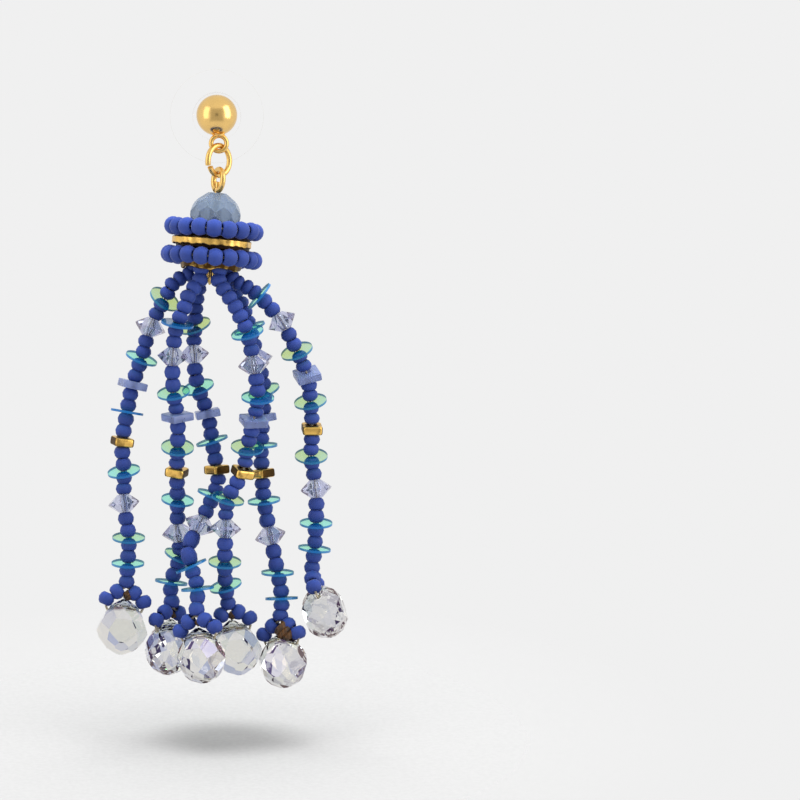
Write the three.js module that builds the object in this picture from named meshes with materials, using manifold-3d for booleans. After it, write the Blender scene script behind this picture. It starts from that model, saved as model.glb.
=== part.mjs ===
// Tassel earring: a post stud, a jump ring, a beaded head and six strands with drops.
// Millimetres, +Z up, front towards -Y. The origin is on the post's axis, at the back of the ball.
import * as THREE from "three";
import { mergeVertices } from "three/addons/utils/BufferGeometryUtils.js";
import Module from "manifold-3d";

const wasm = await Module();
wasm.setup();

// ---- driving dimensions ----
const BALL_R = 2.56;
const POST_R = 0.38;
const POST_LENGTH = 12.6;
const WIRE_R = 0.35;
const STUD_LOOP = { x: 0.26, z: -3.55, ringR: 0.97, wireR: 0.3 };
const WIRE_GAP = 0.06;

const JUMP_RING_R = 1.86;
const JUMP_RING_TURN = 45;
const EYE_R = 1.35;
const EYE_TURN = -65;

const CLUTCH = { discR: 5.87, discY: 0.35, discT: 0.4, hubR: 3.05, hubEndY: 3.6 };
const BARREL = { frontY: 1.9, backY: 6.8, mouthR: 2.3, endR: 1.67 };
const CLUTCH_GAP = 0.12;

const HANG_Y = -BALL_R;
const HEAD_LEAN = 4.8;
const HEAD = { x: 0.2, z: -7.96 };
const STEM_R = 0.32;
const BORE_R = 0.55;
// Distances below the head's origin, along its stem.
const RONDELLE = { top: 1.78, bottom: 7.3, r: 3.05 };
const UPPER_RING = { down: 6.3, r: 5.2, beads: 18 };
const DISC = { down: 7.98, r: 4.95, thick: 1.0, x: -0.2 };
const LOWER_RING = { down: 9.83, r: 5.3, beads: 19 };
const CUP = { top: 8.52, belly: 9.7, bellyR: 4.13, rim: 11.35, rimR: 3.72, wall: 0.34 };
const TIP_DOWN = 13.3;

const SEED_R = 1.03;
const RING_SEED_R = 1.13;
const SEED_NECK_R = 0.62;
const SEED_REST_R = 0.85;
const THREAD_R = 0.14;
const SEQUIN = { r: 2.05, thick: 0.3 };
const BICONE = { r: 2.0, endR: 0.75, half: 1.14 };
const GLASS_SQUARE = { side: 3.05, half: 0.47, corner: 0.2 };
const GOLD_SQUARE = { side: 2.5, half: 0.55, corner: 0.4 };
const DROP = { r: 2.98, height: 7.0, bore: 1.55, boreR: 0.42 };
const KNOT_TO_DROP = 1.4;
const PIECE_GAP = 0.07;

// Where each strand leaves the cup, round its stem, and how its drop hangs.
const CUP_EXIT = { r: 2.25, down: 9.35 };
const STRANDS = [
  { exit: 180, seeds: 6, dropLean: -5.5, dropTurn: 4 },
  { exit: -129, seeds: 7, dropLean: -4.5, dropTurn: 38 },
  { exit: 120, seeds: 7, dropLean: 7.5, dropTurn: -22 },
  { exit: -49, seeds: 8, dropLean: 10.5, dropTurn: 6 },
  { exit: 60, seeds: 8, dropLean: 4.3, dropTurn: -25 },
  { exit: 1, seeds: 6, dropLean: 19, dropTurn: 84 },
];

// Each strand's route. Columns: what sits there, x, depth behind the hanging plane, z, and for a
// flat piece its roll (right side low), its nod (top face to the front) and its turn, in degrees.
// A bicone has no nod of its own: it follows the thread.
const ROUTES = [
  [
    ["way", -3.1, 0.0, -19.6],
    ["way", -4.4, -0.1, -20.3],
    ["way", -5.5, -0.3, -21.1],
    ["sequin", -6.5, -0.4, -23.0, 36, 30],
    ["bicone", -8.3, -0.3, -26.5, 20],
    ["sequin", -9.4, -0.2, -30.4, 21, 16],
    ["glass", -10.5, -0.1, -33.7, 13, 2, 19],
    ["sequin", -11.2, 0.0, -37.1, 10, 0],
    ["gold", -11.8, 0.0, -40.8, 8, 6, 20],
    ["sequin", -11.6, 0.0, -44.5, -10, 21],
    ["bicone", -11.6, -0.1, -48.5, -8],
    ["sequin", -11.0, -0.2, -52.8, 1, 17],
    ["sequin", -11.1, -0.3, -56.0, 1, 13],
    ["knot", -11.3, -0.3, -59.0],
  ],
  [
    ["way", -2.1, -1.9, -20.6],
    ["way", -3.4, -2.5, -22.3],
    ["way", -3.9, -2.8, -23.8],
    ["sequin", -4.9, -2.9, -26.1, 10, 14],
    ["bicone", -5.5, -2.7, -30.2, 6],
    ["sequin", -5.4, -2.4, -34.7, -8, 24],
    ["glass", -4.9, -1.9, -37.7, -4, 12, 32],
    ["sequin", -4.9, -1.2, -41.5, 3, 29],
    ["gold", -5.0, -0.2, -44.6, 6, 14, -19],
    ["sequin", -4.9, 1.0, -48.1, 7, 21],
    ["bicone", -4.9, 1.9, -52.2, -9],
    ["sequin", -4.6, 2.2, -55.2, 23, 17],
    ["sequin", -5.7, 1.6, -58.4, 8, 5],
    ["knot", -5.6, 1.2, -61.6],
  ],
  [
    ["way", -2.1, 2.0, -20.5],
    ["way", -2.6, 2.4, -23.2],
    ["sequin", -2.75, 2.3, -26.3, -20, 24],
    ["bicone", -2.9, 1.9, -29.9, -5],
    ["sequin", -2.35, 1.7, -34.0, -18, 23],
    ["glass", -1.15, 1.5, -37.3, -11, 5, 3],
    ["sequin", -0.6, 1.2, -40.7, -17, 8],
    ["gold", 0.0, 1.0, -44.3, -3, 4, 42],
    ["way", 0.15, 0.9, -45.8],
    ["sequin", -0.45, 0.6, -47.5, 19, 9],
    ["bicone", -2.1, -0.4, -51.2, 24],
    ["way", -3.5, -1.2, -54.0],
    ["sequin", -3.2, -1.9, -56.3, -24, 2],
    ["sequin", -2.4, -2.6, -59.1, -6, 3],
    ["knot", -2.6, -3.4, -62.5],
  ],
  [
    ["way", 0.2, -1.9, -20.6],
    ["way", 1.3, -2.5, -22.4],
    ["way", 2.5, -2.7, -24.4],
    ["sequin", 3.8, -2.7, -27.2, -15, 22],
    ["bicone", 4.6, -2.4, -31.2, -8],
    ["sequin", 5.1, -2.3, -35.3, 2, 22],
    ["glass", 4.6, -2.5, -38.2, 4, 20, 17],
    ["sequin", 3.8, -2.2, -41.5, 5, 27],
    ["gold", 3.25, -2.3, -44.6, 15, 17, 26],
    ["sequin", 1.4, -2.8, -47.9, 14, 18],
    ["bicone", 1.1, -2.9, -51.6, 2],
    ["sequin", 1.0, -2.0, -55.8, 2, 21],
    ["sequin", 1.1, -0.3, -58.8, -16, 19],
    ["knot", 1.5, 0.4, -61.7],
  ],
  [
    ["way", 0.7, 2.0, -20.4],
    ["way", 2.8, 2.5, -23.0],
    ["sequin", 4.1, 2.5, -26.6, -22, 10],
    ["bicone", 5.1, 2.2, -30.5, -13],
    ["sequin", 5.9, 2.1, -34.5, -22, 19],
    ["glass", 5.7, 2.5, -37.9, -11, 3, 12],
    ["sequin", 5.55, 1.9, -41.3, -3, 8],
    ["gold", 5.65, 1.6, -44.8, -6, 3, 45],
    ["sequin", 5.9, 1.3, -48.2, -6, 12],
    ["bicone", 6.7, 1.0, -52.6, -15],
    ["sequin", 7.6, 0.6, -57.2, 0, 9],
    ["sequin", 8.1, 0.4, -60.4, -2, 1],
    ["knot", 7.9, 0.2, -63.2],
  ],
  [
    ["way", 1.55, -0.1, -19.6],
    ["way", 2.3, -0.2, -20.8],
    ["way", 3.4, -0.3, -21.3],
    ["sequin", 5.3, -0.3, -22.65, -50, 7],
    ["bicone", 8.1, -0.2, -25.8, -32],
    ["sequin", 10.0, -0.1, -29.5, -21, 26],
    ["glass", 11.3, 0.0, -32.5, -10, 26, 10],
    ["sequin", 11.7, 0.1, -35.8, -10, 26],
    ["gold", 11.9, 0.2, -39.2, 2, 17, 6],
    ["sequin", 11.8, 0.2, -42.6, 0, 27],
    ["bicone", 12.4, 0.2, -46.7, -8],
    ["sequin", 12.4, 0.1, -51.0, 1, 16],
    ["sequin", 12.2, 0.3, -54.2, 6, 10],
    ["knot", 11.8, 0.7, -57.3],
  ],
];
const HALF_LENGTH = {
  sequin: SEQUIN.thick / 2,
  bicone: BICONE.half,
  glass: GLASS_SQUARE.half,
  gold: GOLD_SQUARE.half,
};

// ---- helpers ----
const rad = THREE.MathUtils.degToRad;
const Y_AXIS = new THREE.Vector3(0, 1, 0);
const Z_AXIS = new THREE.Vector3(0, 0, 1);

const finish = (color, metalness, roughness) =>
  new THREE.MeshStandardMaterial({ color, metalness, roughness });
const GOLD = finish(0xd7aa50, 1, 0.25);
const CLEAR = finish(0xe6e4da, 0, 0.1);
const SEED = finish(0x3e4eac, 0, 0.7);
const MILKY = finish(0x7891b9, 0, 0.3);
const CRYSTAL = finish(0xdfe3ee, 0, 0.05);
const SQUARE_GLASS = finish(0x7d96d7, 0, 0.2);

function toSolid(geometry) {
  const plain = geometry.clone();
  plain.deleteAttribute("normal");
  plain.deleteAttribute("uv");
  const merged = mergeVertices(plain, 1e-5);
  return new wasm.Manifold(new wasm.Mesh({
    numProp: 3,
    vertProperties: merged.attributes.position.array,
    triVerts: new Uint32Array(merged.index.array),
  }));
}

function fromSolid(solid) {
  const mesh = solid.getMesh();
  const geometry = new THREE.BufferGeometry();
  geometry.setAttribute("position", new THREE.BufferAttribute(mesh.vertProperties, 3));
  geometry.setIndex(new THREE.BufferAttribute(mesh.triVerts, 1));
  geometry.computeVertexNormals();
  return geometry;
}

function joined(geometries) {
  return fromSolid(wasm.Manifold.union(geometries.map(toSolid)));
}

function cut(geometry, ...tools) {
  return fromSolid(wasm.Manifold.difference([geometry, ...tools].map(toSolid)));
}

function piece(parent, name, geometry, material) {
  const mesh = new THREE.Mesh(geometry, material);
  mesh.name = name;
  parent.add(mesh);
  return mesh;
}

// A solid of revolution about Z. The outline is [radius, height], round the material.
function turned(outline, sides) {
  const points = outline.map(([r, z]) => new THREE.Vector2(r, z));
  const lathe = new THREE.LatheGeometry(points, sides);
  return lathe.rotateX(Math.PI / 2);
}

// A bored solid of revolution: the outline runs up its outside.
function turnedRing(boreR, outline, sides) {
  const [bottom, top] = [outline[0], outline.at(-1)];
  return turned([[boreR, top[1]], [boreR, bottom[1]], ...outline, [boreR, top[1]]], sides);
}

function wireRing(ringR, wireR, sides, steps) {
  return new THREE.TorusGeometry(ringR, wireR, sides, steps).rotateX(Math.PI / 2);
}

function upright(r, fromZ, toZ, sides, endR = r) {
  const rod = new THREE.CylinderGeometry(r, endR, toZ - fromZ, sides);
  return rod.rotateX(Math.PI / 2).translate(0, 0, (fromZ + toZ) / 2);
}

// A closed tube through round sections of changing radius. Each section is [arc length, radius].
function beadedTube(curve, sections, across, sides) {
  const length = curve.getLength();
  const positions = [];
  const index = [];
  const centres = [];
  for (const [at, radius] of sections) {
    const u = THREE.MathUtils.clamp(at / length, 0, 1);
    const centre = curve.getPointAt(u);
    const tangent = curve.getTangentAt(u);
    const side = new THREE.Vector3().crossVectors(tangent, across).normalize();
    const up = new THREE.Vector3().crossVectors(side, tangent);
    for (let k = 0; k < sides; k++) {
      const angle = 2 * Math.PI * k / sides;
      const point = centre.clone().addScaledVector(side, radius * Math.cos(angle));
      positions.push(...point.addScaledVector(up, radius * Math.sin(angle)));
    }
    centres.push(centre);
  }
  const last = (sections.length - 1) * sides;
  for (let base = 0; base < last; base += sides) {
    for (let k = 0; k < sides; k++) {
      const next = (k + 1) % sides;
      index.push(base + k, base + sides + k, base + next);
      index.push(base + next, base + sides + k, base + sides + next);
    }
  }
  const first = positions.length / 3;
  positions.push(...centres[0], ...centres.at(-1));
  for (let k = 0; k < sides; k++) {
    const next = (k + 1) % sides;
    index.push(first, k, next);
    index.push(first + 1, last + next, last + k);
  }
  const geometry = new THREE.BufferGeometry();
  geometry.setAttribute("position", new THREE.Float32BufferAttribute(positions, 3));
  geometry.setIndex(index);
  return geometry;
}

// The sections of a run of seeds between two arc lengths.
function seedSections(from, to, count) {
  const pitch = (to - from) / count;
  const rows = [[from, SEED_NECK_R]];
  for (let i = 0; i < count; i++) {
    const start = from + i * pitch;
    rows.push([start + 0.24 * pitch, SEED_R], [start + 0.76 * pitch, SEED_R]);
    rows.push([start + pitch, SEED_NECK_R]);
  }
  return rows;
}

// ---- stud, jump ring and clutch ----
const earring = new THREE.Group();

function ballStud() {
  const hang = new THREE.Matrix4().makeTranslation(STUD_LOOP.x, HANG_Y, 0);
  const loop = wireRing(STUD_LOOP.ringR, STUD_LOOP.wireR, 8, 18).translate(0, 0, STUD_LOOP.z);
  const neck = upright(0.8, STUD_LOOP.z + 0.75, -2.2, 10, 0.55);
  const ball = new THREE.SphereGeometry(BALL_R, 20, 14).rotateX(Math.PI / 2).translate(0, HANG_Y, 0);
  const post = new THREE.CylinderGeometry(POST_R, POST_R, POST_LENGTH + 1, 10);
  post.translate(0, POST_LENGTH / 2 - 0.5, 0);
  return joined([ball, post, loop.applyMatrix4(hang), neck.applyMatrix4(hang)]);
}

// Profiles along the post are turned about Z, then laid along +Y.
const alongPost = (geometry) => geometry.rotateX(-Math.PI / 2);

function clutchDisc() {
  const front = CLUTCH.discY;
  const back = front + CLUTCH.discT;
  const boreR = BARREL.mouthR + CLUTCH_GAP;
  return alongPost(turnedRing(boreR, [
    [CLUTCH.discR - 0.15, front],
    [CLUTCH.discR, front + 0.15],
    [CLUTCH.discR, back],
    [CLUTCH.hubR, back + 0.2],
    [CLUTCH.hubR, CLUTCH.hubEndY - 0.5],
    [CLUTCH.hubR - 0.35, CLUTCH.hubEndY],
  ], 24));
}

function clutchBarrel() {
  return alongPost(turnedRing(POST_R + CLUTCH_GAP, [
    [BARREL.mouthR - 0.2, BARREL.frontY - 0.9],
    [BARREL.mouthR, BARREL.frontY],
    [BARREL.mouthR, CLUTCH.hubEndY + 0.2],
    [BARREL.endR - 0.3, CLUTCH.hubEndY + 0.9],
    [BARREL.endR, CLUTCH.hubEndY + 1.8],
    [BARREL.endR, BARREL.backY - 0.5],
    [BARREL.endR - 0.5, BARREL.backY],
  ], 14));
}

const loopBottomZ = STUD_LOOP.z - STUD_LOOP.ringR;
const jumpTopZ = loopBottomZ + STUD_LOOP.wireR + WIRE_R + WIRE_GAP;
const jumpCentreZ = jumpTopZ - JUMP_RING_R;
const eyeTopZ = jumpCentreZ - JUMP_RING_R + 2 * WIRE_R + WIRE_GAP;

// The jump ring is cut open at one side, as a bent wire ring is.
function jumpRing() {
  const slot = new THREE.BoxGeometry(1.4, 1.4, 0.12).translate(-JUMP_RING_R, 0, 0);
  slot.rotateY(rad(-28));
  return cut(wireRing(JUMP_RING_R, WIRE_R, 8, 24), slot);
}

piece(earring, "ball_stud", ballStud(), GOLD);
piece(earring, "clutch_disc", clutchDisc(), CLEAR);
piece(earring, "clutch_barrel", clutchBarrel(), GOLD);
const ring = piece(earring, "jump_ring", jumpRing(), GOLD);
ring.position.set(STUD_LOOP.x, HANG_Y, jumpCentreZ);
ring.rotation.z = rad(JUMP_RING_TURN);

// ---- head: everything threaded on the eye pin ----
const head = new THREE.Group();
head.position.set(HEAD.x, HANG_Y, HEAD.z);
head.rotation.y = rad(HEAD_LEAN);
earring.add(head);

function eyePin() {
  const eyeZ = eyeTopZ - EYE_R - HEAD.z;
  const eye = wireRing(EYE_R, WIRE_R, 8, 18).rotateZ(rad(EYE_TURN)).translate(0, 0, eyeZ);
  const stem = upright(STEM_R, -CUP.rim, eyeZ - EYE_R, 8);
  const tip = upright(0.5, -TIP_DOWN, -CUP.rim + 0.4, 8, 0.06);
  return joined([eye, stem, tip]);
}

function rondelle() {
  const middle = -(RONDELLE.top + RONDELLE.bottom) / 2;
  const half = (RONDELLE.bottom - RONDELLE.top) / 2;
  return turnedRing(BORE_R, [
    [1.25, middle - half],
    [2.45, middle - 0.62 * half],
    [RONDELLE.r, middle - 0.12 * half],
    [RONDELLE.r, middle + 0.12 * half],
    [2.45, middle + 0.62 * half],
    [1.25, middle + half],
  ], 10);
}

// Seeds threaded in a circle: a ring whose tube swells at each seed.
function beadRing({ down, r, beads }) {
  const points = [];
  const sides = 7;
  const stations = [[0, SEED_NECK_R], [0.22, RING_SEED_R], [0.78, RING_SEED_R]];
  for (let i = 0; i < beads; i++) {
    for (const [part, radius] of stations) {
      points.push([2 * Math.PI * (i + part) / beads, radius]);
    }
  }
  const positions = [];
  const index = [];
  points.forEach(([turn, radius], row) => {
    for (let k = 0; k < sides; k++) {
      const angle = 2 * Math.PI * k / sides;
      const out = r + radius * Math.cos(angle);
      positions.push(out * Math.cos(turn), out * Math.sin(turn), radius * Math.sin(angle) - down);
      const next = (row + 1) % points.length;
      const kNext = (k + 1) % sides;
      index.push(row * sides + k, next * sides + k, row * sides + kNext);
      index.push(row * sides + kNext, next * sides + k, next * sides + kNext);
    }
  });
  const geometry = new THREE.BufferGeometry();
  geometry.setAttribute("position", new THREE.Float32BufferAttribute(positions, 3));
  geometry.setIndex(index);
  return geometry;
}

// Waves a turned piece's edge up and down, more towards its outside.
function waved(geometry, height, lobes, fromR, belowZ) {
  const position = geometry.attributes.position;
  const point = new THREE.Vector3();
  for (let i = 0; i < position.count; i++) {
    point.fromBufferAttribute(position, i);
    const r = Math.hypot(point.x, point.y);
    if (r > fromR && point.z < belowZ) {
      const turn = Math.atan2(point.y, point.x);
      position.setZ(i, point.z + height * Math.sin(lobes * turn + 1));
    }
  }
  return geometry;
}

function spacerDisc() {
  const half = DISC.thick / 2;
  const disc = turnedRing(BORE_R, [
    [DISC.r - 0.2, -DISC.down - half],
    [DISC.r, -DISC.down - 0.3],
    [DISC.r, -DISC.down + 0.3],
    [DISC.r - 0.2, -DISC.down + half],
  ], 28);
  return disc.translate(DISC.x, 0, 0);
}

function beadCap() {
  const { top, belly, bellyR, rim, rimR, wall } = CUP;
  const cup = turned([
    [BORE_R, -top - wall],
    [2.0, -top - wall],
    [bellyR - wall, -belly],
    [rimR - wall, -rim],
    [rimR, -rim],
    [bellyR, -belly],
    [2.3, -top],
    [BORE_R, -top],
    [BORE_R, -top - wall],
  ], 24);
  return waved(cup, 0.14, 5, rimR - 1, -rim + 0.3);
}

piece(head, "eye_pin", eyePin(), GOLD);
piece(head, "rondelle_bead", rondelle(), MILKY);
piece(head, "upper_bead_ring", beadRing(UPPER_RING), SEED);
piece(head, "gold_spacer_disc", spacerDisc(), GOLD);
piece(head, "lower_bead_ring", beadRing(LOWER_RING), SEED);
piece(head, "bead_cap", beadCap(), GOLD);

// ---- beads of the strands ----
function bicone() {
  return turnedRing(BORE_R, [
    [BICONE.endR, -BICONE.half],
    [BICONE.r, 0],
    [BICONE.endR, BICONE.half],
  ], 8);
}

function square({ side, half, corner }) {
  const h = side / 2;
  const shape = new THREE.Shape();
  shape.moveTo(-h + corner, -h);
  for (let quarter = 0; quarter < 4; quarter++) {
    const turn = quarter * Math.PI / 2;
    const at = (x, y) => new THREE.Vector2(x, y).rotateAround(new THREE.Vector2(), turn);
    for (const point of [at(-h + corner, -h), at(h - corner, -h)]) {
      shape.lineTo(point.x, point.y);
    }
  }
  shape.holes.push(new THREE.Path().absarc(0, 0, BORE_R, 0, 2 * Math.PI, true));
  const plate = new THREE.ExtrudeGeometry(shape, { depth: 2 * half, bevelEnabled: false, curveSegments: 8 });
  return plate.translate(0, 0, -half);
}

// A pointed faceted drop, its tip at the origin, drilled across near the tip.
function dropBead() {
  const { r, height, bore, boreR } = DROP;
  const body = turned([
    [0, -height],
    [0.24 * r, -height],
    [0.46 * r, -0.94 * height],
    [0.76 * r, -0.84 * height],
    [0.93 * r, -0.71 * height],
    [r, -0.57 * height],
    [0.95 * r, -0.41 * height],
    [0.79 * r, -0.26 * height],
    [0.62 * r, -0.17 * height],
    [0.38 * r, -0.086 * height],
    [0, 0],
  ], 10);
  const drill = new THREE.CylinderGeometry(boreR, boreR, 3 * r, 8).rotateZ(Math.PI / 2);
  return cut(body, drill.translate(0, 0, -bore));
}

const FLAT_BEADS = {
  bicone: { geometry: bicone(), material: CRYSTAL },
  glass: { geometry: square(GLASS_SQUARE), material: SQUARE_GLASS, name: "glass_square" },
  gold: { geometry: square(GOLD_SQUARE), material: GOLD, name: "gold_square" },
};

// Turns a flat piece's +Z to its own upward normal, then about it.
function flatTurn(roll, nod, turn = 0) {
  const lean = new THREE.Quaternion().setFromEuler(new THREE.Euler(rad(nod), rad(roll), 0, "YXZ"));
  return lean.multiply(new THREE.Quaternion().setFromAxisAngle(Z_AXIS, rad(turn)));
}

function sequinAt(centre, turn) {
  const disc = new THREE.CylinderGeometry(SEQUIN.r, SEQUIN.r, SEQUIN.thick, 12).rotateX(Math.PI / 2);
  return disc.applyQuaternion(turn).translate(centre.x, centre.y, centre.z);
}

// How far seeds stay from the middle of a flat piece that leans away from the thread.
function standOff(kind, normal, tangent) {
  const along = Math.abs(normal.dot(tangent));
  const slope = Math.sqrt(1 - along * along) / along;
  if (kind === "sequin") {
    return HALF_LENGTH.sequin + 0.3 * slope;
  }
  return HALF_LENGTH[kind] / along + SEED_REST_R * slope + PIECE_GAP;
}

// The thread's loop through the drop, with two seeds on each side of the knot.
const LOOP_ROUTE = [
  [0, 0.1],
  [1.08, -0.6],
  [2.32, -1.62],
  [2.1, -KNOT_TO_DROP - DROP.bore],
];

function dropLoop(hang) {
  const half = LOOP_ROUTE.map(([x, z]) => new THREE.Vector3(x, 0, z));
  const bottom = new THREE.Vector3(0, 0, -KNOT_TO_DROP - DROP.bore);
  const back = half.slice().reverse().map((p) => new THREE.Vector3(-p.x, 0, p.z));
  const curve = new THREE.CatmullRomCurve3([...half, bottom, ...back], false, "chordal");
  const steps = 40;
  const lengths = curve.getLengths(steps * 8);
  const sections = [[0, THREAD_R]];
  for (const station of [1, 2, 6, 7]) {
    const middle = lengths[station * steps];
    const seedHalf = 0.74;
    sections.push([middle - seedHalf, THREAD_R]);
    sections.push(...seedSections(middle - seedHalf, middle + seedHalf, 1));
    sections.push([middle + seedHalf, THREAD_R]);
    if (station === 2) {
      const side = lengths[3 * steps];
      sections.push([(middle + seedHalf + side) / 2, THREAD_R], [side - 0.15, THREAD_R]);
      sections.push([side + 0.25, THREAD_R], [lengths[5 * steps] - 0.25, THREAD_R]);
      sections.push([lengths[5 * steps] + 0.15, THREAD_R]);
      sections.push([(lengths[5 * steps] + lengths[6 * steps] - seedHalf) / 2, THREAD_R]);
    }
  }
  sections.push([lengths.at(-1), THREAD_R]);
  return beadedTube(curve, sections, Y_AXIS, 6).applyMatrix4(hang);
}

function hangFrom(knot, lean, turn) {
  const turnAbout = new THREE.Quaternion().setFromEuler(new THREE.Euler(0, rad(-lean), rad(turn), "YXZ"));
  return new THREE.Matrix4().compose(knot, turnAbout, new THREE.Vector3(1, 1, 1));
}

function addStrand(number, { exit, seeds, dropLean, dropTurn }, route) {
  const start = new THREE.Vector3(
    CUP_EXIT.r * Math.cos(rad(exit)), CUP_EXIT.r * Math.sin(rad(exit)), -CUP_EXIT.down);
  head.updateMatrix();
  start.applyMatrix4(head.matrix);
  const places = route.map(([, x, depth, z]) => new THREE.Vector3(x, HANG_Y + depth, z));
  const curve = new THREE.CatmullRomCurve3([start, ...places], false, "centripetal");
  const steps = 30;
  curve.arcLengthDivisions = steps * places.length;
  const lengths = curve.getLengths();

  const solids = [];
  const sections = [];
  let from = 0;
  let count = seeds;
  let bicones = 0;
  route.forEach(([kind, , , , roll, nod, turn], i) => {
    if (kind === "way") {
      return;
    }
    const at = lengths[(i + 1) * steps];
    const isKnot = kind === "knot";
    const tangent = curve.getTangentAt(at / curve.getLength());
    const pose = flatTurn(roll ?? 0, nod ?? THREE.MathUtils.radToDeg(Math.asin(tangent.y)), turn);
    const normal = isKnot ? tangent : Z_AXIS.clone().applyQuaternion(pose);
    const clear = isKnot ? 0 : standOff(kind, normal, tangent);
    sections.push(...seedSections(from, at - clear, count));
    if (kind === "sequin") {
      solids.push(sequinAt(places[i], pose));
    } else if (!isKnot) {
      sections.push([at - clear, THREAD_R], [at + clear, THREAD_R]);
      bicones += kind === "bicone" ? 1 : 0;
      const bead = FLAT_BEADS[kind];
      const stem = bead.name ?? (bicones === 1 ? "upper_bicone" : "lower_bicone");
      const mesh = piece(earring, `${stem}_${number}`, bead.geometry, bead.material);
      mesh.position.copy(places[i]);
      mesh.quaternion.copy(pose);
    }
    from = at + clear;
    count = 2;
  });

  const knot = places.at(-1);
  const hang = hangFrom(knot, dropLean, dropTurn);
  solids.push(beadedTube(curve, sections, Y_AXIS, 6), dropLoop(hang));
  piece(earring, `strand_${number}`, joined(solids), SEED);
  const drop = piece(earring, `drop_${number}`, dropBead(), CRYSTAL);
  drop.applyMatrix4(hang.clone().multiply(new THREE.Matrix4().makeTranslation(0, 0, -KNOT_TO_DROP)));
}

STRANDS.forEach((strand, i) => addStrand(i + 1, strand, ROUTES[i]));

export default earring;
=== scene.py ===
"""Looks of the tassel earring, built round its fixed frame."""

import math

import bmesh
import bpy
from bpy.props import FloatProperty, FloatVectorProperty, IntProperty, PointerProperty
from mathutils import Matrix, Vector


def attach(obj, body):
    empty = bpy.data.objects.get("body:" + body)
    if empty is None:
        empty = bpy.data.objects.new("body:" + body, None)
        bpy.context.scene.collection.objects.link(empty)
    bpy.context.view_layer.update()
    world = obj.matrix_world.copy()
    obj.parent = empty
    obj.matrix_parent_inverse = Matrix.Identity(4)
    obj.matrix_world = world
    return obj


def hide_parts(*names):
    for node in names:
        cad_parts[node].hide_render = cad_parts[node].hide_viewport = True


bl_info = {
    "name": "Tassel earring",
    "version": (1, 0, 0),
    "blender": (4, 5, 0),
    "location": "View3D > Sidebar > Earring",
    "description": "Builds a beaded tassel earring on its jump ring and ball stud",
    "category": "Add Mesh",
}

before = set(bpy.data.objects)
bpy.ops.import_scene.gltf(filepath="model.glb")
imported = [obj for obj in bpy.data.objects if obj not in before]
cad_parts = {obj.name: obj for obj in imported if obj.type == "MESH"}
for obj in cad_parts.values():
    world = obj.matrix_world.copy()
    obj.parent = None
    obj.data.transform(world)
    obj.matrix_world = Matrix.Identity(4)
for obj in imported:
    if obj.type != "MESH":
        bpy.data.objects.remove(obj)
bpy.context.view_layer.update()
MM = 0.001
# A bead is spun about its thread by up to a whole turn, in radians.
WHOLE_TURN = 6.283

# ---- the frame's own dimensions, in millimetres ----
BALL_R = 2.56
POST_R = 0.38
POST_LENGTH = 12.6
WIRE_R = 0.35
WIRE_GAP = 0.06
STUD_LOOP = {"x": 0.26, "z": -3.55, "ring_r": 0.97, "wire_r": 0.3}
JUMP_RING_R = 1.86
JUMP_RING_TURN = 45
EYE_R = 1.35
EYE_TURN = -65
# The clutch, along the post from the back of the ball.
CLUTCH = {"r": 5.87, "bore_r": 2.42, "front": 0.35, "hub_r": 3.05, "hub_end": 3.6}
BARREL = {"mouth_r": 2.3, "bore_r": 0.5, "end_r": 1.67, "front": 1.0, "end": 6.8}
JUMP_TOP_Z = STUD_LOOP["z"] - STUD_LOOP["ring_r"] + STUD_LOOP["wire_r"] + WIRE_R + WIRE_GAP
JUMP_Z = JUMP_TOP_Z - JUMP_RING_R
EYE_TOP_Z = JUMP_Z - JUMP_RING_R + 2 * WIRE_R + WIRE_GAP
HANG_Y = -BALL_R
HEAD_LEAN = 4.8
HEAD_AT = (0.2, HANG_Y, -7.96)
HEAD = Matrix.Translation(HEAD_AT) @ Matrix.Rotation(math.radians(HEAD_LEAN), 4, "Y")
EYE_Z = EYE_TOP_Z - EYE_R - HEAD_AT[2]
# Distances below the head's origin, along its stem.
TIP_DOWN = 13.3
RONDELLE = {"top": 1.78, "bottom": 7.3, "r": 3.05}
UPPER_RING = {"down": 6.3, "r": 5.2, "beads": 18}
DISC = {"down": 7.98, "r": 4.95, "thick": 1.0, "x": -0.2}
DISC_CORE = {"r": 4.6, "top": 7.15, "bottom": 8.85}
LOWER_RING = {"down": 9.83, "r": 5.3, "beads": 19}
CUP = {"top": 8.52, "belly": 9.7, "belly_r": 4.13, "rim": 11.35, "rim_r": 3.72, "wall": 0.34}
# How far a seed bead tips towards the face of the piece that it rests on.
REST_SHARE = 0.5
SEQUIN_HALF = 0.15
BICONE = {"r": 2.0, "end_r": 0.75, "half": 1.14}
GLASS_SQUARE = {"side": 3.05, "half": 0.47, "corner": 0.2}
GOLD_SQUARE = {"side": 2.5, "half": 0.55, "corner": 0.4}
DROP = {"r": 2.98, "height": 7.0, "bore": 1.55, "bore_r": 0.42}
KNOT_TO_DROP = 1.4
CUP_EXIT = {"r": 2.25, "down": 9.35}

# Each strand: where it leaves the cup, its first run of seeds, how its drop hangs, and its knot's size.
STRANDS = [
    {"exit": 180, "seeds": 6, "lean": -5.5, "turn": 4, "knot": 0.5},
    {"exit": -129, "seeds": 7, "lean": -4.5, "turn": 38, "knot": 0.34},
    {"exit": 120, "seeds": 7, "lean": 7.5, "turn": -22, "knot": 0.34},
    {"exit": -49, "seeds": 8, "lean": 10.5, "turn": 6, "knot": 0.4},
    {"exit": 60, "seeds": 8, "lean": 4.3, "turn": -25, "knot": 1.05},
    {"exit": 1, "seeds": 6, "lean": 19, "turn": 84, "knot": 0.32},
]

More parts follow.
